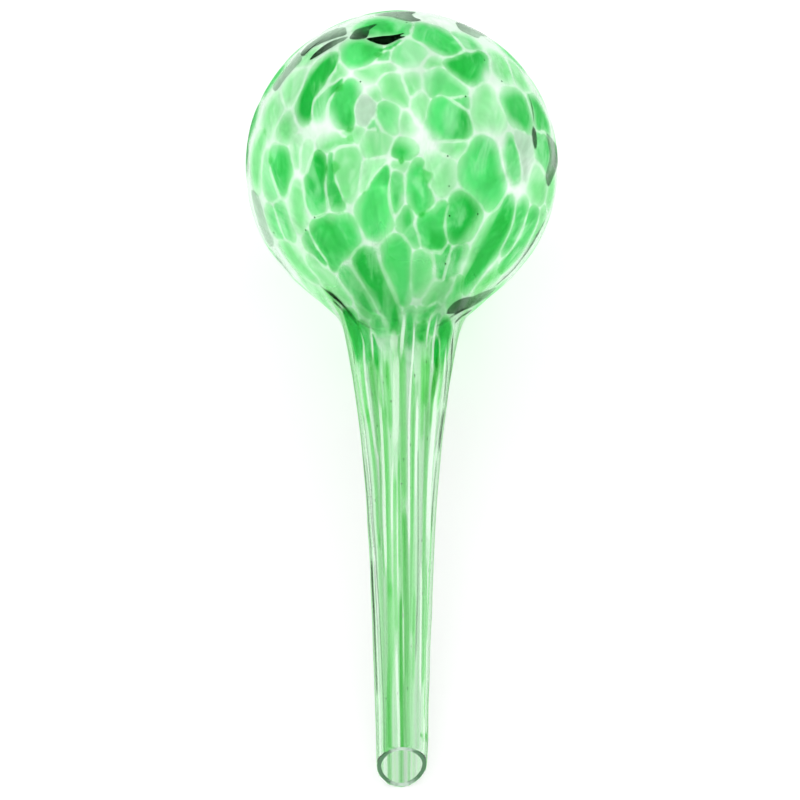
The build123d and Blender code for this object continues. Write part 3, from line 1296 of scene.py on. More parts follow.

# Dark pads painted onto the ball: painted reflections of the dark room in a band along the crown, and
# painted shade at the limbs and at both sides of the neck.
PAINTED_REFLECTION_PATCHES = tuple(PhotoChip(*row) for row in (
    (C, 0.22, "272,88 277,79 283,70.4 290,62 298,53 300,51 302,56 300,62 292,70.5 283,82 "
        "276,91", 40, 0.1, 0.5 * MM),
    (C, 0.38, "300,53 307,45 316,38.5 326,32 336,28 345,26.5 347,30 346,34.5 336,37.5 326,41 316,45.5 "
        "308,49.5 303,56", 70, 0.2, 0.4 * MM),
    (C, 0.58, "309,60 312,55 318,49.5 323,45.5 330,41.2 339,38 348,36 345,39.5 339,42.5 333,46.5 327,50 "
        "322,53 316,56.5", 200, 0.25, 0.4 * MM),
    (C, 0.58, "349,38.5 352,33 356,29 366,26 377,23.5 371,29 369,34 366,38 357,39.5", 60, 0.2, 0.6 * MM),
    (C, 1.3, "366,38.6 374,37 382,35.8 394,34.6 405,32.5 400,35.5 406,36.2 400,38.5 392,42.5 386,45 "
        "380,44.6 373,42.3", 0, 0.0, 0.3 * MM),
    (C, 0.42, "374,15 386,12.4 402,11 416,11.6 413,14 416,18 422,20.4 411,22 400,20 "
        "390,17", 30, 0.2, 0.6 * MM),
    (C, 0.3, "455,22 462,23 475,29 488,36 482,36 478,38 468,34 459,29", 180, 0.15, 0.6 * MM),
    (C, 0.62, "533,126 536.5,131 538,140 537,149 534,148 531.5,137", 0, 0.0, 1.4 * MM),
    (C, 0.36, "546,132 550,135.5 554.5,141 557.6,149 558.4,159 557.2,169 553.3,179 549,187 545.5,179 "
        "546.5,170 549,160 549,150 547.5,142", 90, 0.08, 0.9 * MM),
    (C, 0.04, "251,190 257,194 261,205 265,218 269,231 274,243 270,247.5 263,236 257,220 "
        "253,205", 270, 0.08, 0.6 * MM),
    (C, 0.18, "324,289 333,293 341,300 348,308 355,319 357,325 350,318 342,310 333,301", 0, 0.0, 0.8 * MM),
    (C, 0.46, "446,314 449,307 456,301 465,297.5 475,295.5 486,291 497,287 491,294 482,301 473,307 463,311 "
        "455,313.5", 170, 0.25, 0.6 * MM),
))


@dataclass
class ChipCoat:
    """Chips of coloured glass melted into the ball's surface, each with the stain that it spreads, and dark
    pads of painted reflection and painted shade.

    Heights are metres above the mouth, and places drawn from and over are metres below the crown.
    """

    skin: GlassSkin
    view: PhotoView
    whites: WhitePlaces
    sides: int = 56
    rings: tuple[float, ...] = (0.2, 0.4, 0.58, 0.72, 0.83, 0.92, 1.0)
    halo_rings: tuple[float, ...] = (0.3, 0.6, 0.85)
    most_halo: float = 2.6 * MM
    halo_by_rim: float = 1.3
    soft_edge: float = 0.75 * MM
    soft_by_rim: float = 0.5
    web: float = 0.20 * MM
    rim_height: float = 0.5
    most_reach: float = 3.0
    base_lift: float = 0.034 * MM
    lift_step: float = 0.005 * MM
    layers: int = 5
    thickness: float = 0.13 * MM
    # Height and thickness of the pads of painted reflection and shade, which lie above the chips; smoke
    # pads keep a firmer edge.
    reflection_patch_lift: float = 0.19 * MM
    reflection_patch_thickness: float = 0.04 * MM
    smoke_and_reflection_firm: float = 2.0
    curve_steps: int = 8
    spread_steps: int = 14
    spread_blur: tuple[float, ...] = (0.1, 0.24, 0.32, 0.24, 0.1)
    pitch: float = 11.5 * MM
    chip_half: float = 0.44
    chip_widths: Span = (0.7, 1.1)
    chip_lengths: Span = (0.8, 1.15)
    chip_tones: Span = (0.1, 0.9)
    clear_tones: Span = (0.0, 0.2)
    chip_slopes: Span = (0.1, 0.5)
    most_lean: float = 0.35
    wobbles: tuple[int, ...] = (2, 3, 5)
    wobble_sizes: Span = (0.02, 0.09)
    wobble_starts: Span = (0.0, 6.0)
    jitter: float = 0.2
    scatter_start: float = 0.2
    scatter_steps: int = 400
    hidden_facing: float = 0.14
    least_room: float = 0.42
    golden_turn: float = math.pi * (3 - math.sqrt(5))
    drawn_from: float = 0.058
    drawn_over: float = 0.04
    most_drawn: float = 1.8
    paler_drawn: float = 1.5
    crowding: float = 0.7
    scatter_rim: float = 2.0 * MM
    lowest_scatter: float = 0.128
    neck_height: float = 0.1145
    photo_thinning: float = 8 * MM
    most_thinned: float = 0.5
    scatter_thinning: float = 18 * MM
    least_stain: float = 0.35
    most_stain: float = 0.85
    stain_from: float = 0.198
    stain_full: float = 0.160
    seed: int = 5
    cycle: tuple[Shade, ...] = (
        E, L, M, E, M, L, E, L, M, E, L, M, E, M, L, E, M, L, C, M, E, L, M, E, L)
    drawn_cycle: tuple[Shade, ...] = (M, M, L)

    def _layer(self, order: int) -> float:
        """Return the height of a chip's underside, a little different from its neighbours'."""
        return self.base_lift + self.lift_step * (order % self.layers)

    def _stain(self, middle: np.ndarray) -> float:
        """Return how strongly a chip stains the glass round it; more lower down the ball."""
        share = (self.stain_from - middle[2]) / (self.stain_from - self.stain_full)
        return float(np.clip(share, self.least_stain, self.most_stain))

    def _from_photo(self, spot: PhotoChip, lift: float, thickness: float) -> Chip:
        """Lay a chip of the photograph on the ball.

        Args:
            spot: What the photograph shows.
            lift: Height of its underside above the glass.
            thickness: Height of its crown above that.

        Returns:
            The chip.
        """
        places = np.array([self.view.on_glass(x, y) for x, y in pixels(spot.corners)])
        edge = self._round_off(self.skin.bare(*places.T))
        middle = edge.mean(axis=0)
        lean = math.radians(spot.lean)
        way = math.cos(lean) * self.view.right - math.sin(lean) * self.view.up
        slope = spot.slope / np.abs((edge - middle) @ way).max() * way
        drawn_out = edge[:, 2].min() < self.neck_height
        thinning = min(self.photo_thinning, self.most_thinned * np.ptp(edge[:, 2]))
        return Chip(middle, edge, spot.shade, spot.tone, slope, spot.rim, lift, thickness,
                    self._stain(middle), thinning if drawn_out else 0.0)

    def _round_off(self, corners: np.ndarray) -> np.ndarray:
        """Return evenly spaced points on a smooth closed curve through corners.

        Args:
            corners: Rows of x, y, z, in order.

        Returns:
            Points of the curve.
        """
        count = len(corners)
        run = np.linspace(0, count, self.curve_steps * count, endpoint=False)
        index = run.astype(int)
        share = (run - index)[:, None]
        before, start, end, after = (corners[(index + step) % count] for step in (-1, 0, 1, 2))
        curve = 0.5 * (2 * start + (end - before) * share
                       + (2 * before - 5 * start + 4 * end - after) * share ** 2
                       + (3 * start - before - 3 * end + after) * share ** 3)
        curve = np.concatenate([curve, curve[:1]])
        along = run_along(curve)
        return spaced(curve, along, np.linspace(0, along[-1], self.sides, endpoint=False))

    def _scatter(self, laid: list[Chip]) -> list[Chip]:
        """Spread chips in a spiral over the part of the ball that the photograph hides.

        Args:
            laid: The chips that lie on the ball already.

        Returns:
            The chips that fit beside them.
        """
        rng = np.random.default_rng(self.seed)
        outline = self.skin.outline
        taken = np.concatenate([chip.edge for chip in laid])
        start, end = self.scatter_start * self.pitch, outline.distance_at(self.lowest_scatter)
        run = np.linspace(start, end, self.scatter_steps)
        drawn = 1.0 + self.most_drawn * np.clip((run - self.drawn_from) / self.drawn_over, 0, 1)
        crowd = FULL_TURN * outline.at(run)[0] / (self.pitch ** 2 * drawn ** self.crowding)
        places = np.cumsum(crowd) * (run[1] - run[0])
        found: list[Chip] = []
        for index in range(int(places[-1])):
            aside = rng.uniform(-self.jitter, self.jitter, 2) * self.pitch
            down = float(np.interp(index + 0.5, places, run)) + aside[0]
            turn = index * self.golden_turn + aside[1] / outline.ball_radius
            chip = self._lay(down, turn, float(np.interp(down, run, drawn)), rng, len(found))
            outward, _, _ = self.skin.directions(down, turn)
            gap = np.linalg.norm(taken - chip.middle, axis=1).min()
            if -outward @ self.view.forward < self.hidden_facing and gap > self.least_room * self.pitch:
                found.append(chip)
        return found

    def _lay(self, distance: float, turn: float, drawn: float, rng: np.random.Generator,
             order: int) -> Chip:
        """Lay one scattered chip on the glass.

        Args:
            distance: Distance below the crown.
            turn: Angle round the axis.
            drawn: How much longer than wide the chip was drawn.
            rng: Source of its small differences.
            order: Its number, which picks its shade.

        Returns:
            The chip.
        """
        middle = self.skin.bare(np.array([distance]), np.array([turn]))[0]
        _, across, along = self.skin.directions(distance, turn)
        lean = rng.uniform(-self.most_lean, self.most_lean)
        turned = np.array([[math.cos(lean), math.sin(lean)], [-math.sin(lean), math.cos(lean)]])
        half = self.pitch * self.chip_half
        axes = turned @ np.diag([half * rng.uniform(*self.chip_widths),
                                 half * drawn * rng.uniform(*self.chip_lengths)])
        spin = turns_round(self.sides)
        wobble = 1 + sum(
            rng.uniform(*self.wobble_sizes) * np.sin(count * spin + rng.uniform(*self.wobble_starts))
            for count in self.wobbles)
        offsets = (np.stack([np.cos(spin), np.sin(spin)], axis=-1) * wobble[:, None]) @ axes.T
        edge = middle + offsets @ np.stack([across, along])
        cycle = self.cycle if drawn < self.paler_drawn else self.drawn_cycle
        shade = cycle[order % len(cycle)]
        slope = rng.normal(size=3)
        slope *= rng.uniform(*self.chip_slopes) / np.linalg.norm(slope) / self.pitch
        tone = rng.uniform(*(self.clear_tones if shade is C else self.chip_tones))
        thinning = self.scatter_thinning if drawn > self.paler_drawn else 0.0
        return Chip(middle, edge, shade, float(tone), slope, self.scatter_rim, self._layer(order),
                    self.thickness, self._stain(middle), thinning)

    def build(self) -> dict[Shade, bpy.types.Object]:
        """Build the chips of each shade, with the pads of painted reflection and shade among the smoke
        ones, as one piece of separate closed pads.

        Returns:
            One object for each shade.
        """
        makers: dict[Shade, MeshMaker] = {}
        chips = [self._from_photo(spot, self._layer(order), self.thickness)
                 for order, spot in enumerate(PHOTO_CHIPS)]
        chips += self._scatter(chips)
        # Pads of painted dark reflection and painted shade, which spread no stain.
        reflection_patches = [self._from_photo(spot, self.reflection_patch_lift, self.reflection_patch_thickness)
                   for spot in PAINTED_REFLECTION_PATCHES]
        halos = [self._spread(order, chips) for order in range(len(chips))]
        halos += [np.zeros(self.sides)] * len(reflection_patches)
        for chip, halo in zip(chips + reflection_patches, halos):
            maker = makers.setdefault(chip.shade, MeshMaker(f"{chip.shade.value}_chips"))
            self._add_pad(maker, chip, halo)
        LOG.info("chips laid on the ball: %d", len(chips))
        return {shade: maker.make() for shade, maker in makers.items()}

    def _outward(self, chip: Chip) -> np.ndarray:
        """Return the directions square to a chip's edge, away from its middle.

        Args:
            chip: The chip.

        Returns:
            One direction for each point of the edge.
        """
        tangent = np.roll(chip.edge, -1, axis=0) - np.roll(chip.edge, 1, axis=0)
        outward = np.cross(tangent, self.skin.outward(*self.skin.locate(chip.middle)))
        outward /= np.linalg.norm(outward, axis=1, keepdims=True)
        return outward * np.sign(((chip.edge - chip.middle) * outward).sum())

    def _spread(self, order: int, chips: list[Chip]) -> np.ndarray:
        """Return how far a chip's stain spreads from its edge until it meets its neighbours'.

        Args:
            order: Number of the chip.
            chips: All chips.

        Returns:
            A length for each point of the edge.
        """
        chip = chips[order]
        size = np.linalg.norm(chip.edge - chip.middle, axis=1).max() + 2 * self.most_halo
        others = np.concatenate([other.edge for other in chips if other is not chip])
        others = others[np.linalg.norm(others - chip.middle, axis=1) < size]
        steps = np.linspace(0, min(self.most_halo, self.halo_by_rim * chip.rim), self.spread_steps)
        points = (chip.edge[None] + steps[:, None, None] * self._outward(chip)[None]).reshape(-1, 3)
        squares = (points ** 2).sum(axis=1)[:, None] + (others ** 2).sum(axis=1)[None]
        gaps = squares - 2 * points @ others.T
        nearest = np.sqrt(np.maximum(gaps.min(axis=1), 0)).reshape(len(steps), self.sides)
        blocked = nearest < steps[:, None]
        first = np.where(blocked.any(axis=0), blocked.argmax(axis=0), len(steps) - 1)
        halo = np.maximum(steps[first] - self.web / 2, 0)
        reach = len(self.spread_blur) // 2
        return sum(weight * np.roll(halo, shift)
                   for shift, weight in enumerate(self.spread_blur, start=-reach))

    def _add_pad(self, maker: MeshMaker, chip: Chip, halo: np.ndarray) -> None:
        """Add one chip as a closed pad with a crowned top, its stain and a feathered rim.

        Args:
            maker: The piece that gets the pad.
            chip: The chip.
            halo: How far its stain spreads from each point of its edge.
        """
        spread = chip.edge - chip.middle
        width = np.linalg.norm(spread, axis=1)
        outward = self._outward(chip)
        offsets, outside, heights = [np.zeros((1, 3))], [-width.min(keepdims=True)], [np.ones(1)]
        for share in self.rings:
            offsets.append(share * spread)
            outside.append((share - 1) * width)
            heights.append(np.full(self.sides, 1 - (1 - self.rim_height) * share ** 3))
        for share in self.halo_rings:
            offsets.append(spread + share * halo[:, None] * outward)
            outside.append(share * halo)
            heights.append(np.full(self.sides, self.rim_height * (1 - share ** 2)))
        rows = len(self.rings) + len(self.halo_rings)
        away, beyond = np.concatenate(offsets), np.concatenate(outside)
        crowned = chip.thickness * np.concatenate(heights)
        inside = np.concatenate([halo.mean(keepdims=True), np.tile(halo, rows)]) - beyond
        tips = [self._add_points(maker, chip, away, chip.lift + raised * crowned, beyond, inside)
                for raised in (1.0, 0.0)]
        rim = self._add_points(maker, chip, spread + halo[:, None] * outward,
                               np.full(self.sides, chip.lift), halo, np.zeros(self.sides))
        for tip, flip in zip(tips, (False, True)):
            last = maker.add_dome(tip, rows, self.sides, flip)
            maker.add_band(last, rim, self.sides, flip=flip)

    def _add_points(self, maker: MeshMaker, chip: Chip, away: np.ndarray, lift: np.ndarray,
                    beyond: np.ndarray, inside: np.ndarray) -> int:
        """Bring points of a chip down onto the glass, with the values that colour them.

        Args:
            maker: The piece that gets the points.
            chip: The chip.
            away: Offsets of the points from its middle.
            lift: Height of each point above the glass.
            beyond: Distance of each point beyond the chip's edge; negative inside it.
            inside: Distance of each point from the pad's rim.

        Returns:
            The index of the first new point.
        """
        distance, turn = self.skin.locate(chip.middle + away)
        points = self.skin.place(distance, turn, lift)
        soft_edge = min(self.soft_edge, self.soft_by_rim * chip.rim)
        firm = self.smoke_and_reflection_firm if chip.shade is C else 1.0
        left = self._colour_left(chip, points[:, 2])
        return maker.add_points(
            points, reach=np.clip(1 + beyond / chip.rim, 0, self.most_reach),
            edge=left * np.clip(inside / soft_edge, 0, firm), tone=chip.tone + away @ chip.slope,
            stain=left * chip.stain * (1 - self.whites.at(points)))

    def _colour_left(self, chip: Chip, heights: np.ndarray) -> np.ndarray:
        """Return how much colour is left where a chip was drawn out into the neck; 1 is all of it.

        Args:
            chip: The chip.
            heights: Heights of its points.

        Returns:
            A share for each point.
        """
        if chip.thinning == 0:
            return np.ones(len(heights))
        return eased((heights - chip.edge[:, 2].min()) / chip.thinning)


@dataclass(frozen=True)
class PhotoStreak:
    """A streak or wisp on the near side.

    Path is the pixels it passes through, as x,y pairs, and width is its width in pixels.
    """

    path: str
    width: float
    shade: Shade
    tone: float = 0.5
    faint: float = 0.5


PHOTO_STREAKS = tuple(PhotoStreak(*row) for row in (
    # Dark lines along the stem's left edge: painted shade where the wall is seen edge-on.
    ("362,452 365,482 367.5,512 369.5,542 371,565", 1.7, C, 0.55, 0.2),
    ("370,550 372,590 374,632 375.5,675 376.7,708", 3.2, C, 0.8, 0.1),
    ("376.3,690 377,725 377.5,752", 1.5, C, 0.5, 0.2),
    ("361,403 364,425 367,450 370,480 371.5,503 373.5,532 375.3,560 378,600 380.3,640 382,680 383.3,720 "
        "384,752", 1.5, C, 0.35, 0.2),
    ("372.5,540 374.5,565 377,600 378,630", 2.4, W),
    ("364,402 368,418 371,438 373.5,456 375,475 377,500 378,525 379.5,550", 5, L, 0.5, 0.2),
    ("378.5,530 381,570 382.5,620 383.5,660 385,700 385,765", 6, L, 0.2, 0.5),
    ("369,352 370.5,372 373.5,395 375.5,415 377.5,437 379,458", 5.5, E, 0.2, 0.2),
    ("379,448 380,475 380.5,500 381.5,525 383,555 385,590", 2.6, E, 0.5, 0.3),
    ("363,336 363.3,350 364,364 366,382 368.5,402 371,420 374,442 376.5,462", 2.2, W),
    ("369.5,324 371.7,336 372.3,350 373,364", 1.8, W),
    ("378,370 379,395 380.5,420 382,445 383.3,470 383.8,495 384.5,520 385,550 385.5,580", 2.8, W),
    ("384.5,352 386,372 387.5,392", 5.5, L, 0.6, 0.2),
    ("383,396 384,415 385.5,435 386.3,455 387,478 387.5,500 388.3,525 388.7,552 389,580 "
        "390.5,610", 5, E, 0.05, 0.35),
    ("389,570 390.5,610 391,640 390.5,665 389,690 388.3,715 388.5,765", 6.5, E, 0.25, 0.3),
    # The first streak is a painted highlight, the glint on the throat; the second carries it on down the
    # neck and is partly white glass.
    ("393.5,328 394,342 394,356", 7.5, W),
    ("396,346 396,372 395.8,392 395.8,412 395.5,432 394.5,454", 6, W),
    ("393,450 392,480 391.5,505 391.5,545", 1.9, W),
    ("394.5,466 394.8,495 395,520 395,550 395,580 396,610 396.3,645", 4, E, 0.25, 0.2),
    ("397,500 397.3,540 397.8,575 398,604", 1.3, W),
    ("398.5,450 398.7,485 399,515 399,550 399.5,580", 2.5, E, 0.4, 0.2),
    ("396,640 396.5,665 397.3,690 398.5,720 399,765", 2.6, W),
    ("402.5,346 402.5,372 403.5,400 404,425 404.3,450 404.8,480 405.3,510", 6.5, L, 0.2, 0.4),
    ("404,500 405.5,545 405.8,575 406.3,600 406.5,630 406,665 405.8,700 405.5,748", 5.5, E, 0.65, 0.1),
    ("400.5,588 400.8,620 401,650 401.3,690 401.8,745 402,765", 3.4, E, 0.7, 0.1),
    ("403,596 403.5,630 403.8,665 404,692", 1.3, W),
    ("414.3,316 414.5,328 414,340 412.5,358 411,378 409.8,400 409,425 409,455 409,485 409.3,515 "
        "409.3,555", 1.8, W),
    ("413,360 413,390 412.8,415 412.6,440 412.5,470 412.8,500 413,530 413,565 412.5,600 "
        "412.5,645", 4.4, L, 0.2, 0.3),
    ("417.5,392 417.3,420 416.5,445 416,470 416,505", 2.6, W),
    ("418.5,438 418.3,475 418.5,510 418.5,550 418,590 417,625 415.5,665", 1.7, C, 0.25, 0.2),
    ("423,346 423,370 422.8,395 422.5,420 422,450", 4, E, 0.3, 0.3),
    ("428,346 428.5,365 428,390 427.3,415 426.7,440 426,465 425.3,490 425,520 425,550 424.3,585 424,620 "
        "424,660 423.5,694", 4.5, L, 0.45, 0.2),
    ("432.5,310 429,324 426.8,338 426,352", 2, W),
    ("438,312 435.5,328 433.5,342 432.8,356 432,378", 2.2, W),
    ("436,364 434,388 431.5,410 430,436", 4.5, L, 0.5, 0.2),
    ("441,370 438,392 435,412 433.8,432 432,452 430.5,475 429.8,500 429,525 428.5,548", 5, W),
    ("447,342 445.5,362 444,384", 1.8, W),
    # Dark lines along the neck's and stem's right edge: painted shade where the wall is seen edge-on.
    ("455,325 452.5,340 451.8,360 450.3,380 447.5,400 445.5,420", 2, C, 0.7, 0.1),
    ("449.5,350 448,372 446,392 443.5,412", 1.6, C, 0.5, 0.1),
    ("446,400 443,420 440.7,438 438,460", 4.6, C, 0.62, 0.1),
    ("438.5,450 436.3,472 434.8,490 433.3,510 432.3,538", 3.2, C, 0.35, 0.3),
    ("433.5,502 432.3,530 431.3,552 430,580 428.5,610 427.5,645", 2.2, L, 0.5, 0.3),
    ("427,556 427,600 426.5,640 426,690 424.5,732", 1.8, L, 0.5, 0.2),
    ("429.5,680 428.7,720 428.3,752", 2, L, 0.7, 0.2),
    ("421.5,556 421.5,600 421,650 421,704", 2.2, W),
    ("425.7,666 425.3,705 425,746", 2.3, W),
    ("415,586 414.5,620 414,650 413.5,694", 3.2, M, 0.6, 0.3),
    ("411,640 411,690 410.5,765", 4, M, 0.5, 0.4),
    ("422,734 422,745", 3.0, E, 1.6, 0.0),
    ("427,734 427,745", 2.8, E, 1.6, 0.0),
    # Dark line at the neck's left edge: painted shade.
    ("352.5,345 353,356 354.5,368", 1.6, C, 0.4, 0.2),
    # Dark lines near the ball's limbs: painted limb shade.
    ("262,100 254,116 249,132 247,150 247,170 248.5,188", 1.8, C, 0.35, 0.2),
    ("269,247 276,257 287,270 298,283", 1.8, C, 0.45, 0.2),
    ("528,92 532,104 534,116 534,127", 1.8, C, 0.5, 0.2),
    ("549,212 540,230 529,249 516,267 502,281 491,289", 2.2, C, 0.6, 0.1),
    # Dark band at the left of the neck: painted reflection of the dark room.
    ("320,286 330,294 338,301 346,309 356,322", 2.8, C, 0.8, 0.0),
    ("326,288 335,297 343,305 351,315", 1.8, C, 0.8, 0.0),
    ("330,299 339,307 347,317 352,327", 2.6, C, 0.45, 0.1),
    ("360,346 361,362 362.5,382 365.5,406 369,430", 5, E, 0.2, 0.3),
    ("375,346 377,366 379,390 381.5,416", 4, L, 0.6, 0.3),
    ("440,346 438,366 435,386 432,408", 6, E, 0.9, 0.0),
    ("445.5,350 443,368 440,388 437,412", 5, E, 0.1, 0.4),
    ("429,346 427.5,366 425.5,388 424,414", 7, E, 0.3, 0.2),
    ("405,309 404,322 402,340 401,362", 3.5, W),
    ("387,346 387.5,366 388.5,390 389.5,416 390.5,440", 5, E, 0.2, 0.3),
    ("382,346 383,370 385,400 386.5,426", 3, L, 0.3, 0.4),
    ("355,366 358,388 361.5,412 365,436", 3, M, 0.6, 0.3),
    # Dark streaks at the right of the neck: painted reflection of the dark room.
    ("448,319 457,313 470,306", 2.2, C, 0.8, 0.1),
    ("453,325 462,316 474,309", 2.0, C, 0.7, 0.1),
))


@dataclass(frozen=True)
class FarStreak:
    """A streak on the far side of the stem, as the open mouth shows it.

    Turn and spread are degrees round the axis.
    """

    turn: float
    spread: float
    shade: Shade
    tone: float = 0.3


FAR_STREAKS = tuple(FarStreak(*row) for row in (
    (-4, 9, M), (14, 8, L), (30, 7, W), (44, 9, M, 0.5), (59, 8, M),
    (72, 5, L, 0.7), (81, 6, C, 0.0), (91, 8, E, 0.9), (106, 9, M, 0.2),
    (121, 9, E, 0.7), (138, 7, W), (152, 9, L), (168, 8, M, 0.5),
    (184, 8, L),
))


@dataclass
class StreakCoat:
    """Streaks of drawn-out glass along the neck and the stem, dark lines of painted shade along the stem's
    edges, and dark wisps on the ball and the neck that are painted reflections and painted shade.

    Rows are rows of the photograph, in pixels, and heights are metres above the mouth.
    """

    skin: GlassSkin
    view: PhotoView
    columns: int = 15
    row_step: float = 1.4 * MM
    least_rows: int = 8
    smoothing: int = 12
    half_width: float = 0.62
    least_shown: float = 0.3
    feather: float = 3.0
    fading: float = 1.2
    strand: float = 0.175
    wisp_strand: float = 0.55
    strand_knots: int = 3
    base_lift: float = 0.060 * MM
    lift_step: float = 0.012 * MM
    layers: int = 5
    wisp_lift: float = 0.19 * MM
    thickness: float = 0.07 * MM
    taper: float = 5.0 * MM
    most_taper: float = 0.4
    thin_end: float = 0.02
    chips_row: float = 345.0
    mouth_row: float = 747.0
    top_height: float = 0.146
    top_spread: float = 0.03
    far_faint: float = 0.35
    far_sway: float = 0.2
    far_waves: float = 60.0
    stain: float = 0.5
    wash_stain: float = 0.25
    wash_top: float = 0.150
    wash_fade: float = 0.03
    wash_count: int = 11
    wash_half: float = 0.497
    wash_lift: float = 0.012 * MM
    wash_thickness: float = 0.016 * MM
    wash_heights: tuple[float, ...] = (0.0, 0.045, 0.062, 0.082, 0.096, 0.110)
    wash_faint: tuple[float, ...] = (1.25, 1.3, 2.0, 1.9, 1.25, 0.75)
    seed: int = 11

    @property
    def _side(self) -> np.ndarray:
        """Places across a strip, from -1 at one side to 1 at the other."""
        return np.linspace(-1, 1, self.columns)

    def _layer(self, order: int) -> float:
        """Return the height of a streak's underside, a little different from its neighbours'."""
        return self.base_lift + self.lift_step * (order % self.layers)

    def build(self) -> dict[Shade, bpy.types.Object]:
        """Build the streaks of each shade as one piece of separate closed strips.

        Returns:
            One object for each shade.
        """
        makers = {shade: MeshMaker(f"{shade.value}_streaks") for shade in Shade}
        for order, streak in enumerate(PHOTO_STREAKS):
            self._add_seen(makers[streak.shade], streak, order)
        self._add_back(makers)
        self._add_wash(makers[M])
        return {shade: maker.make() for shade, maker in makers.items()}

    def _add_seen(self, maker: MeshMaker, streak: PhotoStreak, order: int) -> None:
        """Add a streak or wisp of the photograph.

        Args:
            maker: The piece that gets it.
            streak: What the photograph shows.
            order: Its number, which sets its layer.
        """
        path = pixels(streak.path)
        places = [self.view.on_glass(x, y) for x, y in path]
        cut = path[-1][1] > self.mouth_row
        if cut:
            places.append((self.skin.outline.length, places[-1][1]))
        corners = self.skin.bare(*np.array(places).T)
        along = run_along(corners)
        run = np.linspace(0, along[-1], max(self.least_rows, round(along[-1] / self.row_step)))
        distance, turn = self.skin.locate(self._smooth(spaced(corners, along, run)))
        line = self.skin.bare(distance, turn)
        aside = np.cross(self.skin.outward(distance, turn), np.gradient(line, axis=0))
        aside /= np.linalg.norm(aside, axis=1, keepdims=True)
        shown = np.maximum(np.hypot(aside @ self.view.right, aside @ self.view.up), self.least_shown)
        half = self.half_width * streak.width / self.view.pixels_per_metre(line) / shown
        ends = self._ends(run, cut)
        reach = aside * (half * ends ** 0.5)[:, None]
        points = line[:, None] + reach[:, None] * self._side[None, :, None]
        on_chips = min(y for _, y in path) < self.chips_row
        lift = self.wisp_lift if on_chips else self._layer(order)
        self._add_strip(maker, self.skin.locate(points), ends, lift, self.thickness, streak.tone,
                        streak.faint)

    def _smooth(self, line: np.ndarray) -> np.ndarray:
        """Return a line of points with its corners smoothed and its ends kept.

        Args:
            line: Rows of x, y, z.

        Returns:
            The smoothed line.
        """
        span = max(1, len(line) // self.smoothing)
        weights = np.ones(2 * span + 1) / (2 * span + 1)
        before, after = 2 * line[0] - line[span:0:-1], 2 * line[-1] - line[-2:-span - 2:-1]
        padded = np.concatenate([before, line, after])
        return np.stack([np.convolve(column, weights, "valid") for column in padded.T], axis=1)

    def _ends(self, run: np.ndarray, cut: bool) -> np.ndarray:
        """Return how full a strip is along its run: thin at its ends, but not at the cut mouth.

        Args:
            run: Distances from its start.
            cut: Whether it ends at the mouth.

        Returns:
            A share for each distance.
        """
        taper = min(self.taper, run[-1] * self.most_taper)
        start = np.clip(run / taper, self.thin_end, 1)
        if cut:
            return start
        return np.minimum(start, np.clip((run[-1] - run) / taper, self.thin_end, 1))

    def _add_back(self, makers: dict[Shade, MeshMaker]) -> None:
        """Add the streaks of the far side, down to the mouth that shows them.

        Args:
            makers: The pieces that get them, by shade.
        """
        rng = np.random.default_rng(self.seed)
        outline = self.skin.outline
        top = outline.distance_at(self.top_height)
        for order, streak in enumerate(FAR_STREAKS):
            low = top + rng.uniform(0, self.top_spread)
            distance = np.linspace(low, outline.length, round((outline.length - low) / self.row_step))
            half = math.radians(streak.spread)
            sway = self.far_sway * half * np.sin(self.far_waves * (outline.length - distance))
            ends = self._ends(distance - low, cut=True)
            turns = (math.radians(streak.turn) + sway)[:, None]
            turns = turns + (half * ends ** 0.5)[:, None] * self._side[None]
            grid = np.broadcast_to(distance[:, None], turns.shape)
            self._add_strip(makers[streak.shade], (grid, turns), ends, self._layer(order),
                            self.thickness, streak.tone, self.far_faint)

    def _add_wash(self, maker: MeshMaker) -> None:
        """Add the thin pale wash under the streaks, in broad bands.

        Args:
            maker: The piece that gets it.
        """
        outline = self.skin.outline
        top = outline.distance_at(self.wash_top)
        distance = np.linspace(top, outline.length, round((outline.length - top) / self.row_step))
        span = FULL_TURN / self.wash_count
        ends = np.clip((distance - top) / self.wash_fade, self.thin_end, 1)
        faint = np.interp(outline.at(distance)[1], self.wash_heights, self.wash_faint)
        for order in range(self.wash_count):
            turns = span * (order + self.wash_half * self._side)
            turns = np.broadcast_to(turns[None], (len(distance), self.columns))
            grid = np.broadcast_to(distance[:, None], turns.shape)
            self._add_strip(maker, (grid, turns), ends, self.wash_lift, self.wash_thickness, 0.0, faint)

    def _strands(self, rows: int, lift: float) -> np.ndarray:
        """Return fine lighter and darker strands that run along a strip.

        Args:
            rows: How many rows the strip has.
            lift: Height of its underside above the glass.

        Returns:
            A change of tone for each point, row by row.
        """
        rng = np.random.default_rng(self.seed + rows)
        size = self.wisp_strand if lift >= self.wisp_lift else self.strand
        knots = rng.normal(size=(self.strand_knots, self.columns))
        run = np.linspace(0, self.strand_knots - 1, rows)
        return size * spaced(knots, np.arange(self.strand_knots), run)

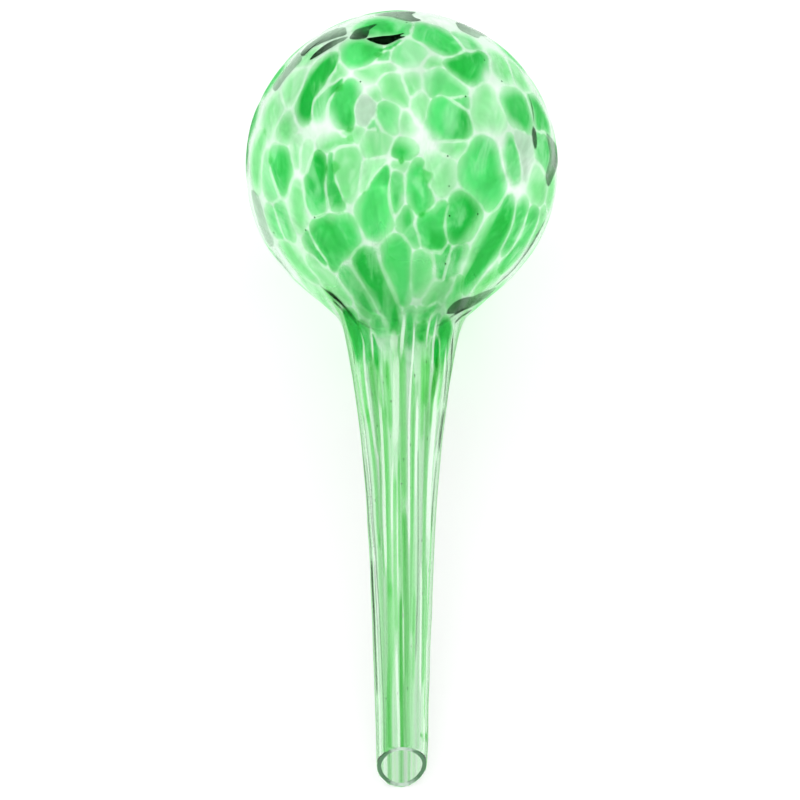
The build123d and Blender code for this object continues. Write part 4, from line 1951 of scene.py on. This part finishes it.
    def _add_strip(self, maker: MeshMaker, grid: tuple[np.ndarray, np.ndarray], ends: np.ndarray,
                   lift: float, thickness: float, tone: float, faint: float | np.ndarray) -> None:
        """Add one strip with a crowned top and feathered sides.

        Args:
            maker: The piece that gets the strip.
            grid: Distances and turns of its points, in rows across the strip.
            ends: How full each row is.
            lift: Height of the strip's underside above the glass.
            thickness: Height of its crown above that.
            tone: Depth of its colour.
            faint: How much of the core's colour is washed out, in all or in each row.
        """
        rows = len(ends)
        off = np.abs(self._side)
        faded = np.broadcast_to(faint, rows)[:, None] + off[None]
        values = {
            "reach": self.fading * faded.ravel(),
            "edge": (np.clip((1 - off)[None] * self.feather, 0, 1) * ends[:, None]).ravel(),
            "tone": tone + self._strands(rows, lift).ravel(),
            "stain": np.full(faded.size, self.wash_stain if lift < self.base_lift else self.stain),
        }
        firsts = []
        for raised in (1.0, 0.0):
            height = lift + raised * thickness * np.broadcast_to(1 - off[None] ** 2, faded.shape)
            points = self.skin.place(*grid, height).reshape(-1, 3)
            firsts.append(maker.add_points(points, **values))
        maker.add_grid(firsts[0], rows, self.columns, closed=False)
        maker.add_grid(firsts[1], rows, self.columns, closed=False, flip=True)
        ring = list(range(self.columns))
        ring += [row * self.columns + self.columns - 1 for row in range(1, rows)]
        ring += [(rows - 1) * self.columns + column for column in range(self.columns - 2, -1, -1)]
        ring += [row * self.columns for row in range(rows - 2, 0, -1)]
        for start, end in zip(ring, ring[1:] + ring[:1]):
            maker.add_face((firsts[0] + start, firsts[0] + end, firsts[1] + end, firsts[1] + start))


@dataclass
class Studio:
    """White table, soft light and the room that the glass reflects."""

    outline: Outline
    table_size: float = 4.0
    table_glow: float = 0.62
    table_grey: float = 0.55
    table_gap: float = 0.2 * MM
    room_dark: float = 0.08
    room_bright: float = 1.0
    band_low: Span = (0.02, 0.07)
    band_high: Span = (0.30, 0.48)
    lamp_way: tuple[float, float, float] = (-0.277, -0.726, -0.617)
    lamp_distance: float = 0.9
    lamp_size: float = 0.2
    lamp_power: float = 0.3

    @property
    def table_normal(self) -> np.ndarray:
        """Direction away from the table on which ball and mouth lie."""
        rise = (self.outline.ball_radius - self.outline.mouth_radius) / self.outline.ball_height
        return np.array([0.0, -math.sqrt(1 - rise ** 2), rise])

    def build(self) -> None:
        """Make the world, the table and the lamp."""
        self._make_world()
        table = self._make_table()
        table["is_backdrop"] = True
        self._make_lamp()

    def _make_world(self) -> None:
        """White to the camera; a bright room with a dark band above the table's edge otherwise."""
        world = bpy.data.worlds.new("studio")
        bpy.context.scene.world = world
        world.use_nodes = True
        board = NodeBoard(world.node_tree)
        place = board.add("ShaderNodeTexCoord")
        lean = board.add("ShaderNodeVectorMath", operation="DOT_PRODUCT")
        board.join(place.outputs["Generated"], lean.inputs[0])
        lean.inputs[1].default_value = tuple(self.table_normal)
        height = lean.outputs["Value"]
        band = board.math("MULTIPLY", board.ramp(height, *self.band_low),
                          board.math("SUBTRACT", 1.0, board.ramp(height, *self.band_high)))
        darker = board.math("MULTIPLY", band, self.room_bright - self.room_dark)
        level = board.math("SUBTRACT", self.room_bright, darker)
        paths = board.add("ShaderNodeLightPath")
        strength = board.math("MAXIMUM", level, paths.outputs["Is Camera Ray"])
        back = board.fill(board.add("ShaderNodeBackground"), {
            "Color": (1.0, 1.0, 1.0), "Strength": strength})
        output = board.add("ShaderNodeOutputWorld")
        board.join(back.outputs[0], output.inputs["Surface"])

    def _make_table(self) -> bpy.types.Object:
        """Plain white sheet that the globe lies on, seen from its upper side only.

        Returns:
            The sheet.
        """
        normal = Vector(self.table_normal)
        side = Vector((1.0, 0.0, 0.0))
        far = normal.cross(side)
        below = self.outline.ball_radius + self.table_gap
        middle = Vector((0.0, 0.0, self.outline.ball_height)) - normal * below
        half = self.table_size / 2
        corners = [middle + side * a * half + far * b * half
                   for a, b in ((-1, -1), (1, -1), (1, 1), (-1, 1))]
        mesh = bpy.data.meshes.new("table")
        mesh.from_pydata([tuple(corner) for corner in corners], [], [(0, 1, 2, 3)])
        if mesh.polygons[0].normal.dot(normal) < 0:
            mesh.flip_normals()
        table = bpy.data.objects.new("table", mesh)
        bpy.context.scene.collection.objects.link(table)
        mesh.materials.append(self._table_finish())
        return table

    def _table_finish(self) -> bpy.types.Material:
        """White paper that keeps a soft shadow and can't be seen from below.

        Returns:
            The finished material.
        """
        material, board = blank_material("white_table")
        matt = board.fill(board.add("ShaderNodeBsdfDiffuse"), {"Color": (self.table_grey,) * 3})
        glow = board.fill(board.add("ShaderNodeEmission"), {
            "Color": (1.0, 1.0, 1.0), "Strength": self.table_glow})
        both = board.add("ShaderNodeAddShader")
        clear = board.add("ShaderNodeBsdfTransparent")
        facing = board.add("ShaderNodeNewGeometry")
        pick = board.add("ShaderNodeMixShader")
        for part, socket in ((matt, both.inputs[0]), (glow, both.inputs[1]),
                             (both, pick.inputs[1]), (clear, pick.inputs[2])):
            board.join(part.outputs[0], socket)
        board.join(facing.outputs["Backfacing"], pick.inputs[0])
        board.show(pick)
        return material

    def _make_lamp(self) -> None:
        """Small soft lamp above the table, which glints on the ball and the neck."""
        data = bpy.data.lights.new("soft_lamp", "AREA")
        data.size = self.lamp_size
        data.energy = self.lamp_power
        lamp = bpy.data.objects.new("soft_lamp", data)
        bpy.context.scene.collection.objects.link(lamp)
        target = Vector((0.0, 0.0, self.outline.stem_length))
        lamp.location = target + Vector(self.lamp_way).normalized() * self.lamp_distance
        lamp.rotation_euler = (target - lamp.location).to_track_quat("-Z", "Y").to_euler()


GLASS_BY_SHADE = {
    E: StainedGlass("emerald_glass", (0.25, 0.86, 0.38), (0.05, 0.63, 0.14), (0.59, 0.93, 0.62)),
    L: StainedGlass("leaf_glass", (0.45, 0.90, 0.53), (0.14, 0.71, 0.24), (0.69, 0.95, 0.71)),
    M: StainedGlass("mint_glass", (0.67, 0.95, 0.70), (0.45, 0.87, 0.50), (0.81, 0.98, 0.82)),
    # Smoke glass: pale for the clear chips; its near-black deep colour is painted shade, which mostly the
    # painted dark reflections and shade lines reach.
    C: StainedGlass("smoke_glass", (0.76, 0.82, 0.77), (0.008, 0.020, 0.010), (0.86, 0.93, 0.87),
                    drift=0.14, thinning=0.0, gloss=0.0),
}
MILK_GLASS = MilkyGlass("milk_glass")
# The strands get a stronger painted glow.
MILK_STRANDS = replace(MILK_GLASS, name="milk_streak_glass", stained=MILK_GLASS.colour, thin=0.12,
                       thick=0.27, glow=0.42, draw=STREAK_DRAW)
SLOT_BY_SHADE = {E: "emerald_glass", L: "leaf_glass", M: "mint_glass", C: "smoke_glass", W: "milk_glass"}


def attach(piece: bpy.types.Object, slot: str, materials: list[bpy.types.Material], *nodes: str) -> None:
    """Dress a piece, tie it to the globe and let it stand for its solids.

    Args:
        piece: The finished object.
        slot: The record's material slot; not used.
        materials: Materials in the order of the mesh's slots.
        nodes: Names of the solids that the piece replaces.
    """
    for material in materials:
        piece.data.materials.append(material)
    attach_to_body(piece, BODY)
    if nodes:
        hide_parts(*nodes)
    LOG.info("%s: %d faces", piece.name, len(piece.data.polygons))


def main() -> None:
    """Build the globe in order, dress it and light it."""
    logging.basicConfig(level=logging.INFO, format="%(name)s: %(message)s")
    scene = bpy.context.scene
    scene.view_settings.view_transform = "Standard"
    scene.cycles.max_bounces = LIGHT_BOUNCES
    scene.cycles.transmission_bounces = LIGHT_BOUNCES
    scene.cycles.transparent_max_bounces = LIGHT_BOUNCES
    cad_low, cad_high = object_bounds()
    outline = Outline(ball_radius=(cad_high[0] - cad_low[0]) / 2, crown_height=cad_high[2])
    skin = GlassSkin(outline)
    view = PhotoView(outline)
    view.make_camera()
    effects = SharedEffects()
    body = GlassBody(skin).build()
    attach(body, "clear_glass", [ClearGlass().make(effects), GroundRim().make(effects)],
           "ball_bubble", "stem_tube")
    whites = WhitePlaces(skin, view)
    veil = MilkVeil(skin, whites).build()
    attach(veil, "milk_glass", [MILK_GLASS.make(effects)], "ball_veil")
    stains = {shade: finish.make(effects) for shade, finish in GLASS_BY_SHADE.items()}
    for shade, piece in ChipCoat(skin, view, whites).build().items():
        attach(piece, SLOT_BY_SHADE[shade], [stains[shade]], f"chips_{shade.value}")
    strands = {shade: finish.drawn_out(f"{shade.value}_streak_glass")
               for shade, finish in GLASS_BY_SHADE.items()}
    strands[W] = MILK_STRANDS
    for shade, piece in StreakCoat(skin, view).build().items():
        # The smoke streaks stand for no solid: most of them are painted shade lines and painted
        # reflections.
        nodes = () if shade is C else (f"streaks_{shade.value}",)
        attach(piece, SLOT_BY_SHADE[shade], [strands[shade].make(effects)], *nodes)
    Studio(outline).build()


if __name__ == "__main__":
    main()
